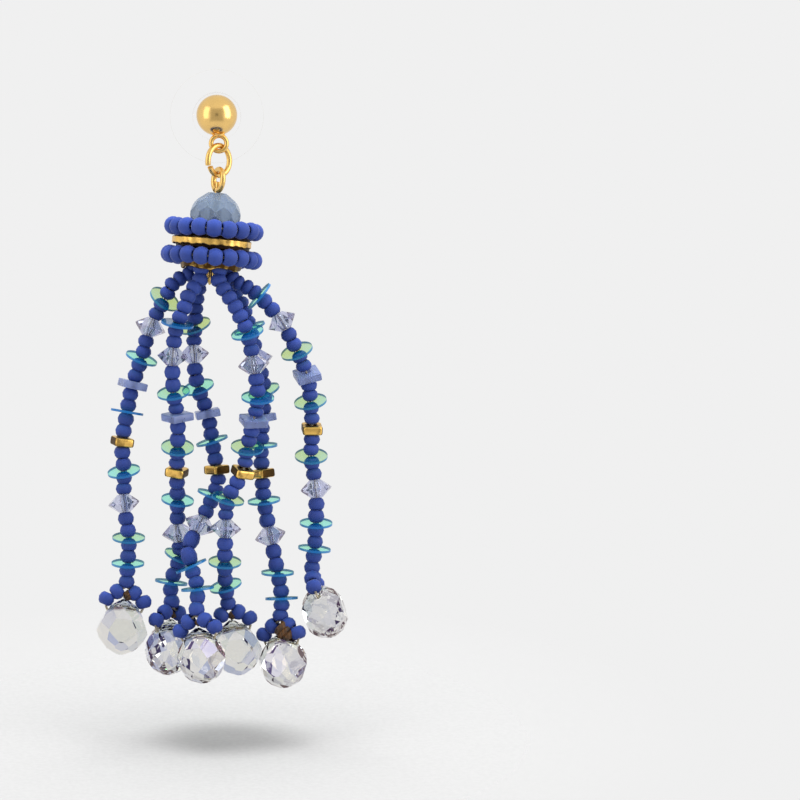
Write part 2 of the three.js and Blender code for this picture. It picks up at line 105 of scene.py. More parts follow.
# Each strand's route: what sits there, x, depth behind the hanging plane, z, roll, nod and turn.
ROUTES = [
    [
        ("way", -3.1, 0.0, -19.6),
        ("way", -4.4, -0.1, -20.3),
        ("way", -5.5, -0.3, -21.1),
        ("sequin", -6.5, -0.4, -23.0, 36, 30),
        ("bicone", -8.3, -0.3, -26.5, 20),
        ("sequin", -9.4, -0.2, -30.4, 21, 16),
        ("glass", -10.5, -0.1, -33.7, 13, 2, 19),
        ("sequin", -11.2, 0.0, -37.1, 10, 0),
        ("gold", -11.8, 0.0, -40.8, 8, 6, 20),
        ("sequin", -11.6, 0.0, -44.5, -10, 21),
        ("bicone", -11.6, -0.1, -48.5, -8),
        ("sequin", -11.0, -0.2, -52.8, 1, 17),
        ("sequin", -11.1, -0.3, -56.0, 1, 13),
        ("knot", -11.3, -0.3, -59.0),
    ],
    [
        ("way", -2.1, -1.9, -20.6),
        ("way", -3.4, -2.5, -22.3),
        ("way", -3.9, -2.8, -23.8),
        ("sequin", -4.9, -2.9, -26.1, 10, 14),
        ("bicone", -5.5, -2.7, -30.2, 6),
        ("sequin", -5.4, -2.4, -34.7, -8, 24),
        ("glass", -4.9, -1.9, -37.7, -4, 12, 32),
        ("sequin", -4.9, -1.2, -41.5, 3, 29),
        ("gold", -5.0, -0.2, -44.6, 6, 14, -19),
        ("sequin", -4.9, 1.0, -48.1, 7, 21),
        ("bicone", -4.9, 1.9, -52.2, -9),
        ("sequin", -4.6, 2.2, -55.2, 23, 17),
        ("sequin", -5.7, 1.6, -58.4, 8, 5),
        ("knot", -5.6, 1.2, -61.6),
    ],
    [
        ("way", -2.1, 2.0, -20.5),
        ("way", -2.6, 2.4, -23.2),
        ("sequin", -2.75, 2.3, -26.3, -20, 24),
        ("bicone", -2.9, 1.9, -29.9, -5),
        ("sequin", -2.35, 1.7, -34.0, -18, 23),
        ("glass", -1.15, 1.5, -37.3, -11, 5, 3),
        ("sequin", -0.6, 1.2, -40.7, -17, 8),
        ("gold", 0.0, 1.0, -44.3, -3, 4, 42),
        ("way", 0.15, 0.9, -45.8),
        ("sequin", -0.45, 0.6, -47.5, 19, 9),
        ("bicone", -2.1, -0.4, -51.2, 24),
        ("way", -3.5, -1.2, -54.0),
        ("sequin", -3.2, -1.9, -56.3, -24, 2),
        ("sequin", -2.4, -2.6, -59.1, -6, 3),
        ("knot", -2.6, -3.4, -62.5),
    ],
    [
        ("way", 0.2, -1.9, -20.6),
        ("way", 1.3, -2.5, -22.4),
        ("way", 2.5, -2.7, -24.4),
        ("sequin", 3.8, -2.7, -27.2, -15, 22),
        ("bicone", 4.6, -2.4, -31.2, -8),
        ("sequin", 5.1, -2.3, -35.3, 2, 22),
        ("glass", 4.6, -2.5, -38.2, 4, 20, 17),
        ("sequin", 3.8, -2.2, -41.5, 5, 27),
        ("gold", 3.25, -2.3, -44.6, 15, 17, 26),
        ("sequin", 1.4, -2.8, -47.9, 14, 18),
        ("bicone", 1.1, -2.9, -51.6, 2),
        ("sequin", 1.0, -2.0, -55.8, 2, 21),
        ("sequin", 1.1, -0.3, -58.8, -16, 19),
        ("knot", 1.5, 0.4, -61.7),
    ],
    [
        ("way", 0.7, 2.0, -20.4),
        ("way", 2.8, 2.5, -23.0),
        ("sequin", 4.1, 2.5, -26.6, -22, 10),
        ("bicone", 5.1, 2.2, -30.5, -13),
        ("sequin", 5.9, 2.1, -34.5, -22, 19),
        ("glass", 5.7, 2.5, -37.9, -11, 3, 12),
        ("sequin", 5.55, 1.9, -41.3, -3, 8),
        ("gold", 5.65, 1.6, -44.8, -6, 3, 45),
        ("sequin", 5.9, 1.3, -48.2, -6, 12),
        ("bicone", 6.7, 1.0, -52.6, -15),
        ("sequin", 7.6, 0.6, -57.2, 0, 9),
        ("sequin", 8.1, 0.4, -60.4, -2, 1),
        ("knot", 7.9, 0.2, -63.2),
    ],
    [
        ("way", 1.55, -0.1, -19.6),
        ("way", 2.3, -0.2, -20.8),
        ("way", 3.4, -0.3, -21.3),
        ("sequin", 5.3, -0.3, -22.65, -50, 7),
        ("bicone", 8.1, -0.2, -25.8, -32),
        ("sequin", 10.0, -0.1, -29.5, -21, 26),
        ("glass", 11.3, 0.0, -32.5, -10, 26, 10),
        ("sequin", 11.7, 0.1, -35.8, -10, 26),
        ("gold", 11.9, 0.2, -39.2, 2, 17, 6),
        ("sequin", 11.8, 0.2, -42.6, 0, 27),
        ("bicone", 12.4, 0.2, -46.7, -8),
        ("sequin", 12.4, 0.1, -51.0, 1, 16),
        ("sequin", 12.2, 0.3, -54.2, 6, 10),
        ("knot", 11.8, 0.7, -57.3),
    ],
]


def linear(hex_colour):
    """The linear RGB of an sRGB hex colour."""
    parts = [int(hex_colour[i:i + 2], 16) / 255 for i in (1, 3, 5)]
    return tuple(p / 12.92 if p <= 0.04045 else ((p + 0.055) / 1.055) ** 2.4 for p in parts)


# ---- what a user may change ----
def length(name, description, default):
    return FloatProperty(
        name=name, description=description, default=default, min=0, unit="LENGTH", precision=5)


def colour(name, description, default):
    return FloatVectorProperty(
        name=name, description=description, default=linear(default), min=0, max=1, size=3, subtype="COLOR")


class BeadSizes(bpy.types.PropertyGroup):
    seed_diameter: length("Seed bead diameter", "Across a strand's seed bead, square to its thread", 0.0021)
    ring_bead_diameter: length("Ring bead diameter", "Across a seed bead of the two bead circles", 0.00226)
    seed_hole: length("Seed bead hole", "Across a seed bead's hole", 0.0005)
    sequin_diameter: length("Sequin diameter", "Across a sequin", 0.0041)
    sequin_hole: length("Sequin hole", "Across a sequin's hole", 0.0008)
    sequin_thickness: length("Sequin thickness", "Thickness of a sequin's sheet", 0.0003)
    thread_diameter: length("Thread diameter", "Across the beading thread", 0.0003)
    seed_spread: FloatProperty(
        name="Seed bead spread", description="How far seed beads differ in width from each other",
        default=0.028, min=0, max=0.2, subtype="FACTOR")
    seed_number: IntProperty(
        name="Random seed", description="Picks another set of small differences between beads",
        default=7, min=0)


class Colours(bpy.types.PropertyGroup):
    gold: colour("Gold", "Polished gold plate", "#EBBE66")
    # This dark brown is the patina, and also painted shade on gold faces marked for it and on the disc's
    # core.
    patina_and_shade: colour("Patina", "Dark brown left in the recesses of gold plate", "#2E1606")
    seed: colour("Seed beads", "Matte opaque glass of the seed beads", "#2C418B")
    milky: colour("Rondelle", "Milky glass of the large faceted bead", "#8A9DB5")
    crystal: colour("Crystal", "Clear glass of the drops", "#E6E4DD")
    bicone: colour("Bicones", "Faintly blue glass of the small crystals", "#D4D6E6")
    square: colour("Glass squares", "Translucent glass of the square beads", "#8F9FD4")
    sequin_mint: colour("Sequin, low tilt", "Light that passes a sequin seen near its edge", "#D8FFEA")
    sequin_lime: colour("Sequin, high tilt", "Light that passes a sequin seen from above", "#EDF8C8")
    sequin_azure: colour("Sequin sheen", "Light that a sequin sends back", "#0080FA")
    thread: colour("Thread", "Beading thread", "#CBBFA4")
    knot: colour("Knots", "Waxed end of the thread", "#5E3B15")


# ---- nodes ----
MATH = "ShaderNodeMath"
VECTOR_MATH = "ShaderNodeVectorMath"
RANGE = "ShaderNodeMapRange"
MIX = "ShaderNodeMix"
MIX_SHADER = "ShaderNodeMixShader"
PRINCIPLED = "ShaderNodeBsdfPrincipled"
TRANSPARENT = "ShaderNodeBsdfTransparent"
BUMP = "ShaderNodeBump"
ATTRIBUTE = "ShaderNodeAttribute"
COORDINATES = "ShaderNodeTexCoord"
SEPARATE = "ShaderNodeSeparateXYZ"
COMBINE = "ShaderNodeCombineXYZ"

# A Map Range node's first inputs are the value, the range it comes from and the range it goes to.
# Most of a noise's values lie in this range:
NOISE = (0.3, 0.7)
# A Mix node that mixes colours takes the share in input 0 and the colours in inputs 6 and 7.
COLOURS_MIXED = {"out": 2, "data_type": "RGBA"}


def add(tree, kind, inputs=(), out=0, **settings):
    """A new node with its settings, which gives back one of its outputs. inputs is a row of values for its
    first sockets, or a dict by their names or numbers. A value is plain, or another node's output."""
    node = tree.nodes.new(kind)
    for name, value in settings.items():
        setattr(node, name, value)
    for key, value in inputs.items() if isinstance(inputs, dict) else enumerate(inputs):
        socket = node.inputs[key]
        if isinstance(value, bpy.types.NodeSocket):
            tree.links.new(value, socket)
        else:
            socket.default_value = (*value, 1) if socket.type == "RGBA" and len(value) == 3 else value
    return node.outputs[out] if node.outputs else None


def blank_material(name):
    material = bpy.data.materials.new(name)
    material.use_nodes = True
    material.node_tree.nodes.clear()
    return material, material.node_tree


def grain(tree, size_mm, detail=2.0, stretch=(1, 1, 1)):
    """Noise on object coordinates, with features of about that size."""
    where = add(tree, COORDINATES, out="Object")
    scaled = add(tree, "ShaderNodeMapping", {"Vector": where, "Scale": stretch})
    return add(tree, "ShaderNodeTexNoise", {
        "Vector": scaled, "Scale": 1 / (size_mm * MM), "Detail": detail}, "Fac")


def mottled(tree, noise, a, b, most=1):
    """A colour that drifts with the noise from a to b, or to most of the way there."""
    return add(tree, MIX, {0: add(tree, RANGE, (noise, *NOISE, 0, most)), 6: a, 7: b}, **COLOURS_MIXED)


def shade(value, factor):
    return tuple(min(1.0, v * factor) for v in value)


# ---- materials: each maker fills a node tree and gives back its shader ----
# Gold-plated brass, barrelled and polished: a bright mirror, softened by faint polishing lines.
def gold_plate(tree, user, rough, patina_share=0.0, patina_from=(0.52, 0.66), pale=0.0):
    gold = mottled(tree, grain(tree, 1.4, 1.0), shade(user.gold, 0.93), shade(user.gold, 1.06))
    if pale:
        gold = add(tree, MIX, {0: pale, 6: gold, 7: linear("#E6D2AE")}, **COLOURS_MIXED)
    roughness = add(tree, RANGE, (grain(tree, 0.5, 3.0, (1, 1, 3)), *NOISE, *rough))
    lines = grain(tree, 0.3, 2.0, (1, 1, 2.5))
    if patina_share:
        # Dark patina stays in the hollows of the antiqued pieces, as soft brown patches.
        patch = add(tree, RANGE, (grain(tree, 1.1, 4.0), *patina_from, 0, patina_share))
        # Faces marked for painted shade take the same dark brown.
        painted_shade_sides = add(tree, ATTRIBUTE, out="Fac", attribute_name="dark_side")
        patch = add(tree, MATH, (patch, painted_shade_sides), operation="MAXIMUM")
        gold = add(tree, MIX, {0: patch, 6: gold, 7: user.patina_and_shade}, **COLOURS_MIXED)
        dulled = add(tree, RANGE, (patch, 0, 1, 0, 0.22))
        roughness = add(tree, MATH, (roughness, dulled), operation="ADD")
    return add(tree, PRINCIPLED, {
        "Base Color": gold, "Metallic": 1.0, "Roughness": roughness,
        "Normal": add(tree, BUMP, {"Height": lines, "Strength": 0.12, "Distance": 0.02 * MM})})


# Brown-black brass of the disc's core, dark as painted shade in the gaps round the disc; a dull waxy gloss.
def blackened_brass(tree, user):
    patch = grain(tree, 0.8, 3.0)
    return add(tree, PRINCIPLED, {
        "Base Color": mottled(tree, patch, shade(user.patina_and_shade, 0.3), shade(user.patina_and_shade, 0.8)),
        "Metallic": 0.8, "Roughness": add(tree, RANGE, (patch, *NOISE, 0.35, 0.6)),
        "Normal": add(tree, BUMP, {"Height": patch, "Strength": 0.3, "Distance": 0.03 * MM})})


# Drawn surgical steel wire: grey, with fine rings left by the drawing die.
def drawn_steel(tree, user):
    rings = grain(tree, 0.25, 2.0, (1, 4, 1))
    return add(tree, PRINCIPLED, {
        "Base Color": mottled(tree, rings, linear("#77787C"), linear("#9A9A9C")),
        "Metallic": 1.0, "Roughness": add(tree, RANGE, (rings, *NOISE, 0.24, 0.36)),
        "Normal": add(tree, BUMP, {"Height": rings, "Strength": 0.2, "Distance": 0.01 * MM})})


# Opaque seed glass, etched to a matte skin: even colour, no glint, and a pale bloom at grazing angles.
def matte_seed_glass(tree, user):
    own = add(tree, ATTRIBUTE, out="Fac", attribute_name="shade")
    body = add(tree, MIX, {0: own, 6: shade(user.seed, 0.86), 7: shade(user.seed, 1.12)}, **COLOURS_MIXED)
    # The etched grain is some 0.02 mm across; it is drawn at 0.16 mm so that it shows.
    etch = grain(tree, 0.16, 3.0)
    return add(tree, PRINCIPLED, {
        "Base Color": mottled(tree, etch, body, shade(user.seed, 1.5), 0.35),
        "Roughness": add(tree, RANGE, (etch, *NOISE, 0.52, 0.7)),
        "Specular IOR Level": 0.3, "Sheen Weight": 0.14, "Sheen Roughness": 0.3,
        "Sheen Tint": (0.75, 0.8, 1.0),
        "Normal": add(tree, BUMP, {"Height": etch, "Strength": 0.25, "Distance": 0.015 * MM})})


# Opal glass, cut and fire polished: milky all through, with glossy flat facets.
def opal_glass(tree, user):
    cloud = grain(tree, 2.2, 2.0)
    return add(tree, PRINCIPLED, {
        "Base Color": mottled(tree, cloud, shade(user.milky, 0.9), shade(user.milky, 1.12)),
        "Roughness": add(tree, RANGE, (cloud, *NOISE, 0.2, 0.3)), "IOR": 1.52,
        "Transmission Weight": 0.55, "Subsurface Weight": 0.3,
        "Subsurface Radius": (1.2, 1.4, 1.8), "Subsurface Scale": MM})


# Lead-free crystal with a vapour coating: clear, strongly refracting, with faint lilac and blue films.
def coated_crystal(tree, user, tint, film_nm, cloud=0.0, clear=1.0):
    coat = add(tree, ATTRIBUTE, out="Fac", attribute_name="coat")
    drift = add(tree, RANGE, (grain(tree, 3.0, 1.0), *NOISE, -0.06, 0.06))
    share = add(tree, MATH, (coat, drift), operation="ADD", use_clamp=True)
    # Marked facets turn slate blue: partly the vapour coat, and partly painted reflection of darker
    # surroundings.
    coat_and_reflection_tint = add(tree, MIX, {0: share, 6: getattr(user, tint), 7: linear("#939FC9")}, **COLOURS_MIXED)
    return add(tree, PRINCIPLED, {
        "Base Color": coat_and_reflection_tint,
        "Roughness": 0.01 + cloud, "IOR": 1.54, "Transmission Weight": clear,
        "Thin Film Thickness": film_nm, "Thin Film IOR": 1.9})


# Pressed translucent glass with a tumbled skin: light comes through blurred, and brighter at the edges.
def tumbled_glass(tree, user):
    ripple = grain(tree, 0.9, 1.0)
    return add(tree, PRINCIPLED, {
        "Base Color": mottled(tree, ripple, shade(user.square, 0.92), shade(user.square, 1.08)),
        "Roughness": add(tree, RANGE, (ripple, *NOISE, 0.26, 0.36)), "IOR": 1.5, "Transmission Weight": 0.62,
        "Normal": add(tree, BUMP, {"Height": ripple, "Strength": 0.02, "Distance": 0.02 * MM})})


# Dichroic film of a sequin: passes green light and sends azure back, with a deep blue cut edge.
# How lime the film looks and how much azure it sends back are painted per sequin, by its tilt to the view.
def dichroic_film(tree, user):
    tilt, rim = (add(tree, ATTRIBUTE, out="Fac", attribute_name=name) for name in ("tilt", "rim"))
    drift = add(tree, RANGE, (grain(tree, 1.6, 1.0), *NOISE, -0.16, 0.16))
    share = add(tree, MATH, (tilt, drift), operation="ADD", use_clamp=True)
    passed = add(tree, MIX, {0: share, 6: user.sequin_mint, 7: user.sequin_lime}, **COLOURS_MIXED)
    clear = add(tree, TRANSPARENT, {"Color": passed})
    # A value below 0 marks a film that faces the light: it is painted with more azure reflection than green
    # passed.
    sent = add(tree, RANGE, (tilt, -0.7, 0.0, 0, 1))
    azure = add(tree, PRINCIPLED, {
        "Base Color": add(tree, MIX, {0: sent, 6: linear("#004E86"), 7: user.sequin_azure}, **COLOURS_MIXED),
        "Roughness": 0.22, "IOR": 1.5, "Coat Weight": 0.6, "Coat Roughness": 0.06})
    faces = add(tree, MIX_SHADER, (add(tree, RANGE, (tilt, -0.8, 0.0, 0.8, 0.12)), clear, azure))
    deep_blue = add(tree, MIX, {0: share, 6: linear("#0068B0"), 7: linear("#0070A2")}, **COLOURS_MIXED)
    edge = add(tree, PRINCIPLED, {"Base Color": deep_blue, "Roughness": 0.3, "IOR": 1.5})
    return add(tree, MIX_SHADER, (add(tree, MATH, (rim, 0.86), operation="MULTIPLY"), faces, edge))


# Injection-moulded clear plastic: nearly invisible face on, with a pale warm edge.
def clear_moulding(tree, user):
    flow = add(tree, RANGE, (grain(tree, 2.5, 1.0), *NOISE, 0.04, 0.1))
    clear = add(tree, TRANSPARENT, {"Color": (1, 1, 1)})
    gloss = add(tree, PRINCIPLED, {
        "Base Color": linear("#EFE6D6"), "Roughness": flow, "IOR": 1.49, "Transmission Weight": 1.0})
    facing = add(tree, "ShaderNodeLayerWeight", {"Blend": 0.25}, "Facing")
    body = add(tree, MIX_SHADER, (add(tree, RANGE, (facing, 0.45, 1.0, 0.0, 0.35)), clear, gloss))
    # The rim's wall is painted as a fine beige line, a painted highlight for the light that the whole disc
    # gathers into it. The hub's wall gets less.
    coords = add(tree, COORDINATES).node.outputs
    along = add(tree, SEPARATE, (coords["Normal"],), "Y")
    wall = add(tree, RANGE, (add(tree, MATH, (along,), operation="ABSOLUTE"), 0.1, 0.4, 1.0, 0.0))
    flat = add(tree, VECTOR_MATH, (coords["Object"], (1, 0, 1)), operation="MULTIPLY")
    from_post = add(tree, VECTOR_MATH, (flat,), "Value", operation="LENGTH")
    outer = add(tree, RANGE, (from_post, 3.5 * MM, 5.0 * MM, 0.12, 1.0))
    painted_rim_highlight = add(tree, MATH, (wall, outer), operation="MULTIPLY")
    edge = add(tree, PRINCIPLED, {"Base Color": linear("#A89D84"), "Roughness": 0.3, "IOR": 1.49})
    return add(tree, MIX_SHADER, (painted_rim_highlight, body, edge))


# Twisted nylon beading thread: two plies laid at a slant, with a slight waxy gloss.
def twisted_nylon(tree, user, dye, across_mm=0.4, dark_patch_share=0.0):
    main = getattr(user, dye)
    plies = add(tree, "ShaderNodeTexWave", {
        "Vector": add(tree, COORDINATES, out="UV"), "Scale": 1.0, "Distortion": 0.6, "Detail": 1.0,
    }, "Fac", wave_type="BANDS", bands_direction="DIAGONAL")
    fibre = grain(tree, across_mm * 0.35, 3.0)
    tone = add(tree, MIX, {0: plies, 6: shade(main, 0.62), 7: shade(main, 1.2)}, **COLOURS_MIXED)
    # Noise darkens the thread in patches towards brown-black, up to the given share.
    dark_patches = add(tree, RANGE, (grain(tree, 0.9), 0.46, 0.58, 0, dark_patch_share))
    tone = add(tree, MIX, {0: dark_patches, 6: tone, 7: linear("#1C1408")}, **COLOURS_MIXED)
    return add(tree, PRINCIPLED, {
        "Base Color": mottled(tree, fibre, tone, shade(main, 0.5), 0.5),
        "Roughness": add(tree, RANGE, (fibre, *NOISE, 0.4, 0.65)),
        "Normal": add(tree, BUMP, {"Height": plies, "Strength": 0.6, "Distance": 0.05 * MM})})


# Each finish: its maker, and what the maker is told.
FINISHES = {
    "polished_gold_plate": (gold_plate, {"rough": (0.16, 0.24), "pale": 0.2}),
    "brushed_gold_wire": (gold_plate, {"rough": (0.22, 0.34), "pale": 0.12}),
    "satin_gold_plate": (gold_plate, {"rough": (0.25, 0.36), "patina_share": 0.55}),
    "dark_antiqued_gold": (gold_plate, {
        "rough": (0.2, 0.3), "patina_share": 0.95, "patina_from": (0.36, 0.5)}),
    "blackened_brass": (blackened_brass, {}),
    "drawn_steel": (drawn_steel, {}),
    "matte_seed_glass": (matte_seed_glass, {}),
    "opal_glass": (opal_glass, {}),
    "coated_crystal": (coated_crystal, {"tint": "crystal", "film_nm": 150}),
    "coated_bicone_crystal": (coated_crystal, {
        "tint": "bicone", "film_nm": 160, "cloud": 0.06, "clear": 0.9}),
    "tumbled_glass": (tumbled_glass, {}),
    "dichroic_film": (dichroic_film, {}),
    "clear_moulding": (clear_moulding, {}),
    "twisted_nylon": (twisted_nylon, {"dye": "thread"}),
    "waxed_knot": (twisted_nylon, {"dye": "knot", "across_mm": 1.0, "dark_patch_share": 0.9}),
}


def material_of(name):
    """A finish by its name, made the first time it is asked for."""
    material = bpy.data.materials.get(name)
    if material is None:
        material, tree = blank_material(name)
        maker, told = FINISHES[name]
        add(tree, "ShaderNodeOutputMaterial", (maker(tree, bpy.context.scene.earring_colours, **told),))
    return material


# ---- meshes, built in millimetres and kept in metres ----
def piece(name, bm, finish, body, nodes=(), smooth=35):
    """A finished object from a bmesh in millimetres, with its material, the body it rides on and the nodes
    it replaces. Edges that turn by more than smooth degrees are kept sharp."""
    bmesh.ops.remove_doubles(bm, verts=bm.verts, dist=1e-4)
    bmesh.ops.recalc_face_normals(bm, faces=bm.faces)
    for face in bm.faces:
        face.smooth = smooth > 0
    for edge in bm.edges:
        if len(edge.link_faces) == 2 and math.degrees(edge.calc_face_angle(0)) > smooth:
            edge.smooth = False
    bmesh.ops.scale(bm, vec=(MM, MM, MM), verts=bm.verts)
    mesh = bpy.data.meshes.new(name)
    bm.to_mesh(mesh)
    bm.free()
    mesh.materials.append(material_of(finish))
    obj = bpy.data.objects.new(name, mesh)
    bpy.context.scene.collection.objects.link(obj)
    return settled(obj, body, nodes)


def settled(obj, body, nodes=()):
    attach(obj, body)
    if nodes:
        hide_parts(*nodes)
    return obj


def around(count):
    """Angles evenly round a circle."""
    return [2 * math.pi * i / count for i in range(count)]


def skin(bm, rings, closed_path=False, closed_ring=True):
    """Faces between rows of points that all have the same count. A row may be one point over and over, at a
    pole. An open path has its ends capped."""
    rows = [[bm.verts.new(point) for point in ring] for ring in rings]
    count = len(rows[0])
    pairs = list(zip(rows, rows[1:] + rows[:1])) if closed_path else list(zip(rows, rows[1:]))
    uv = bm.loops.layers.uv.verify()
    for r, (low, high) in enumerate(pairs):
        for k in range(count if closed_ring else count - 1):
            n = (k + 1) % count
            face = bm.faces.new((low[k], low[n], high[n], high[k]))
            for loop, (u, v) in zip(face.loops, ((k, r), (k + 1, r), (k + 1, r + 1), (k, r + 1))):
                loop[uv].uv = (u / count * 2, v * 0.35)
    if not closed_path:
        bm.faces.new(rows[0][::-1])
        bm.faces.new(rows[-1])
    return bm


def turned(bm, outline, sides, wave=None, closed=True):
    """A solid of revolution about Z from an outline of (radius, height), which is closed unless it starts
    and ends on the axis. wave(turn, r, z) moves a point."""
    rings = []
    for turn in around(sides):
        ring = []
        for r, z in outline:
            dr, dz = wave(turn, r, z) if wave else (0, 0)
            ring.append(((r + dr) * math.cos(turn), (r + dr) * math.sin(turn), z + dz))
        rings.append(ring)
    return skin(bm, rings, closed_path=True, closed_ring=closed)


def rounded(outline, radius, steps=4):
    """The closed outline with its corners rounded."""
    result = []
    count = len(outline)
    for i, here in enumerate(outline):
        before, after = Vector(outline[i - 1]), Vector(outline[(i + 1) % count])
        here = Vector(here)
        back, ahead = before - here, after - here
        reach = min(radius, back.length / 2.05, ahead.length / 2.05)
        start, end = here + back.normalized() * reach, here + ahead.normalized() * reach
        for s in range(steps + 1):
            t = s / steps
            result.append(tuple(start * (1 - t) ** 2 + here * 2 * t * (1 - t) + end * t * t))
    return result


def tube(bm, points, radius, sides, closed=False):
    """A round tube along points, its frame carried along without twist."""
    points = [Vector(p) for p in points]
    count = len(points)
    tangents = []
    for i in range(count):
        a = points[i - 1] if closed or i else points[0]
        b = points[(i + 1) % count] if closed or i < count - 1 else points[-1]
        tangents.append((b - a).normalized())
    side = tangents[0].orthogonal().normalized()
    rings = []
    for i, (point, tangent) in enumerate(zip(points, tangents)):
        if i:
            side = tangents[i - 1].rotation_difference(tangent) @ side
        side = (side - tangent * side.dot(tangent)).normalized()
        up = tangent.cross(side)
        rings.append([point + radius * (side * math.cos(a) + up * math.sin(a)) for a in around(sides)])
    return skin(bm, rings, closed_path=closed)


def placed(bm, matrix):
    bmesh.ops.transform(bm, matrix=matrix, verts=bm.verts)
    return bm


def added(bm, other):
    """Moves the other bmesh's faces into bm."""
    mesh = bpy.data.meshes.new("part")
    other.to_mesh(mesh)
    other.free()
    bm.from_mesh(mesh)
    bpy.data.meshes.remove(mesh)
    return bm


def cut_gem(size, tiers):
    """A convex gem: a block cut by tiers of facets. Each tier is (count, slant, distance, turn): the slant
    up from level and the turn are in degrees, and the distance is from the gem's middle."""
    bm = bmesh.new()
    bmesh.ops.create_cube(bm, size=size)
    for count, slant, distance, turn in tiers:
        for k in range(count):
            about = math.radians(turn + 360 * k / count)
            up = math.radians(slant)
            normal = Vector((math.cos(up) * math.cos(about), math.cos(up) * math.sin(about), math.sin(up)))
            cut = bmesh.ops.bisect_plane(
                bm, geom=bm.verts[:] + bm.edges[:] + bm.faces[:], plane_co=normal * distance,
                plane_no=normal, clear_outer=True)
            edges = [e for e in cut["geom_cut"] if isinstance(e, bmesh.types.BMEdge)]
            if edges:
                bmesh.ops.contextual_create(bm, geom=edges)
    bmesh.ops.remove_doubles(bm, verts=bm.verts, dist=0.002)
    bmesh.ops.dissolve_limit(bm, angle_limit=math.radians(0.5), verts=bm.verts, edges=bm.edges)
    return bm


# A limit that no part of a face's normal is over.
NEVER = 2.0


def coat_and_reflection_facets(bm, pattern, windows=NEVER, most=1.0):
    """Marks how much slate-blue tint each facet carries, up to most: partly the vapour coat, and partly
    painted reflection of darker surroundings. Facets that face front or back by more than windows stay
    clear."""
    bm.normal_update()
    mark = bm.faces.layers.float.new("coat")
    for face in bm.faces:
        about = math.atan2(face.normal.y, face.normal.x)
        wave = math.sin(5.3 * about + 4.1 * face.normal.z + pattern)
        face[mark] = 0.0 if abs(face.normal.y) > windows or len(face.verts) > 14 else max(0.0, most * wave)
    return bm


def drilled(bm, radius, reach, matrix, sides=16):
    """bm with a round hole cut through it along the matrix's Z."""
    tool = bmesh.new()
    bmesh.ops.create_cone(
        tool, cap_ends=True, segments=sides, radius1=radius, radius2=radius, depth=reach, matrix=matrix)
    objects = []
    for source in (bm, tool):
        mesh = bpy.data.meshes.new("drilling")
        source.to_mesh(mesh)
        source.free()
        obj = bpy.data.objects.new("drilling", mesh)
        bpy.context.scene.collection.objects.link(obj)
        objects.append(obj)
    cutter = objects[0].modifiers.new("drill", "BOOLEAN")
    cutter.operation, cutter.solver, cutter.object = "DIFFERENCE", "EXACT", objects[1]
    seen = objects[0].evaluated_get(bpy.context.evaluated_depsgraph_get())
    result = bmesh.new()
    result.from_mesh(seen.to_mesh())
    seen.to_mesh_clear()
    for obj in objects:
        mesh = obj.data
        bpy.data.objects.remove(obj)
        bpy.data.meshes.remove(mesh)
    return result


def stood(x=0.0, y=0.0, z=0.0):
    return Matrix.Translation((x, y, z))


def turn_y(degrees):
    return Matrix.Rotation(math.radians(degrees), 4, "Y")


def turn_z(degrees):
    return Matrix.Rotation(math.radians(degrees), 4, "Z")


def flat_turn(roll, nod, turn=0):
    """How a flat piece lies: its right side low by roll, its top face to the front by nod, and then turned
    about itself."""
    return turn_y(roll) @ Matrix.Rotation(math.radians(nod), 4, "X") @ turn_z(turn)


# ---- strands ----
class Route:
    """A smooth curve through points, measured along its length. power 0.25 is centripetal, 0.5 chordal."""

    STEPS = 60

    def __init__(self, points, power=0.25):
        ends = [points[0] * 2 - points[1], *points, points[-1] * 2 - points[-2]]
        self.at = [points[0].copy()]
        for p0, p1, p2, p3 in zip(ends, ends[1:], ends[2:], ends[3:]):
            d0, d1, d2 = ((b - a).length_squared ** power for a, b in ((p0, p1), (p1, p2), (p2, p3)))
            t1 = ((p1 - p0) / d0 - (p2 - p0) / (d0 + d1) + (p2 - p1) / d1) * d1
            t2 = ((p2 - p1) / d1 - (p3 - p1) / (d1 + d2) + (p3 - p2) / d2) * d1
            for step in range(1, self.STEPS + 1):
                t = step / self.STEPS
                self.at.append(
                    p1 + t1 * t + (-3 * p1 + 3 * p2 - 2 * t1 - t2) * t * t
                    + (2 * p1 - 2 * p2 + t1 + t2) * t ** 3)
        self.lengths = [0.0]
        for a, b in zip(self.at, self.at[1:]):
            self.lengths.append(self.lengths[-1] + (b - a).length)

    def station(self, number):
        """How far along the curve its point of that number is."""
        return self.lengths[number * self.STEPS]

    def point(self, along):
        along = min(max(along, 0.0), self.lengths[-1])
        low, high = 0, len(self.lengths) - 1
        while high - low > 1:
            middle = (low + high) // 2
            low, high = (middle, high) if self.lengths[middle] <= along else (low, middle)
        span = self.lengths[high] - self.lengths[low]
        return self.at[low].lerp(self.at[high], (along - self.lengths[low]) / span if span else 0)

    def tangent(self, along):
        return (self.point(along + 0.05) - self.point(along - 0.05)).normalized()

    def spaced(self, gap):
        count = max(2, round(self.lengths[-1] / gap))
        return [self.point(self.lengths[-1] * i / count) for i in range(count + 1)]


HALF_LENGTH = {
    "sequin": SEQUIN_HALF, "bicone": BICONE["half"], "glass": GLASS_SQUARE["half"],
    "gold": GOLD_SQUARE["half"]}


def stand_off(kind, normal, tangent):
    """How far seed beads stay from the middle of a piece that leans away from the thread."""
    along = abs(normal.dot(tangent))
    slope = math.sqrt(max(0.0, 1 - along * along)) / along
    if kind == "sequin":
        return HALF_LENGTH[kind] + 0.1 * slope
    return HALF_LENGTH[kind] / along + 0.35 * slope


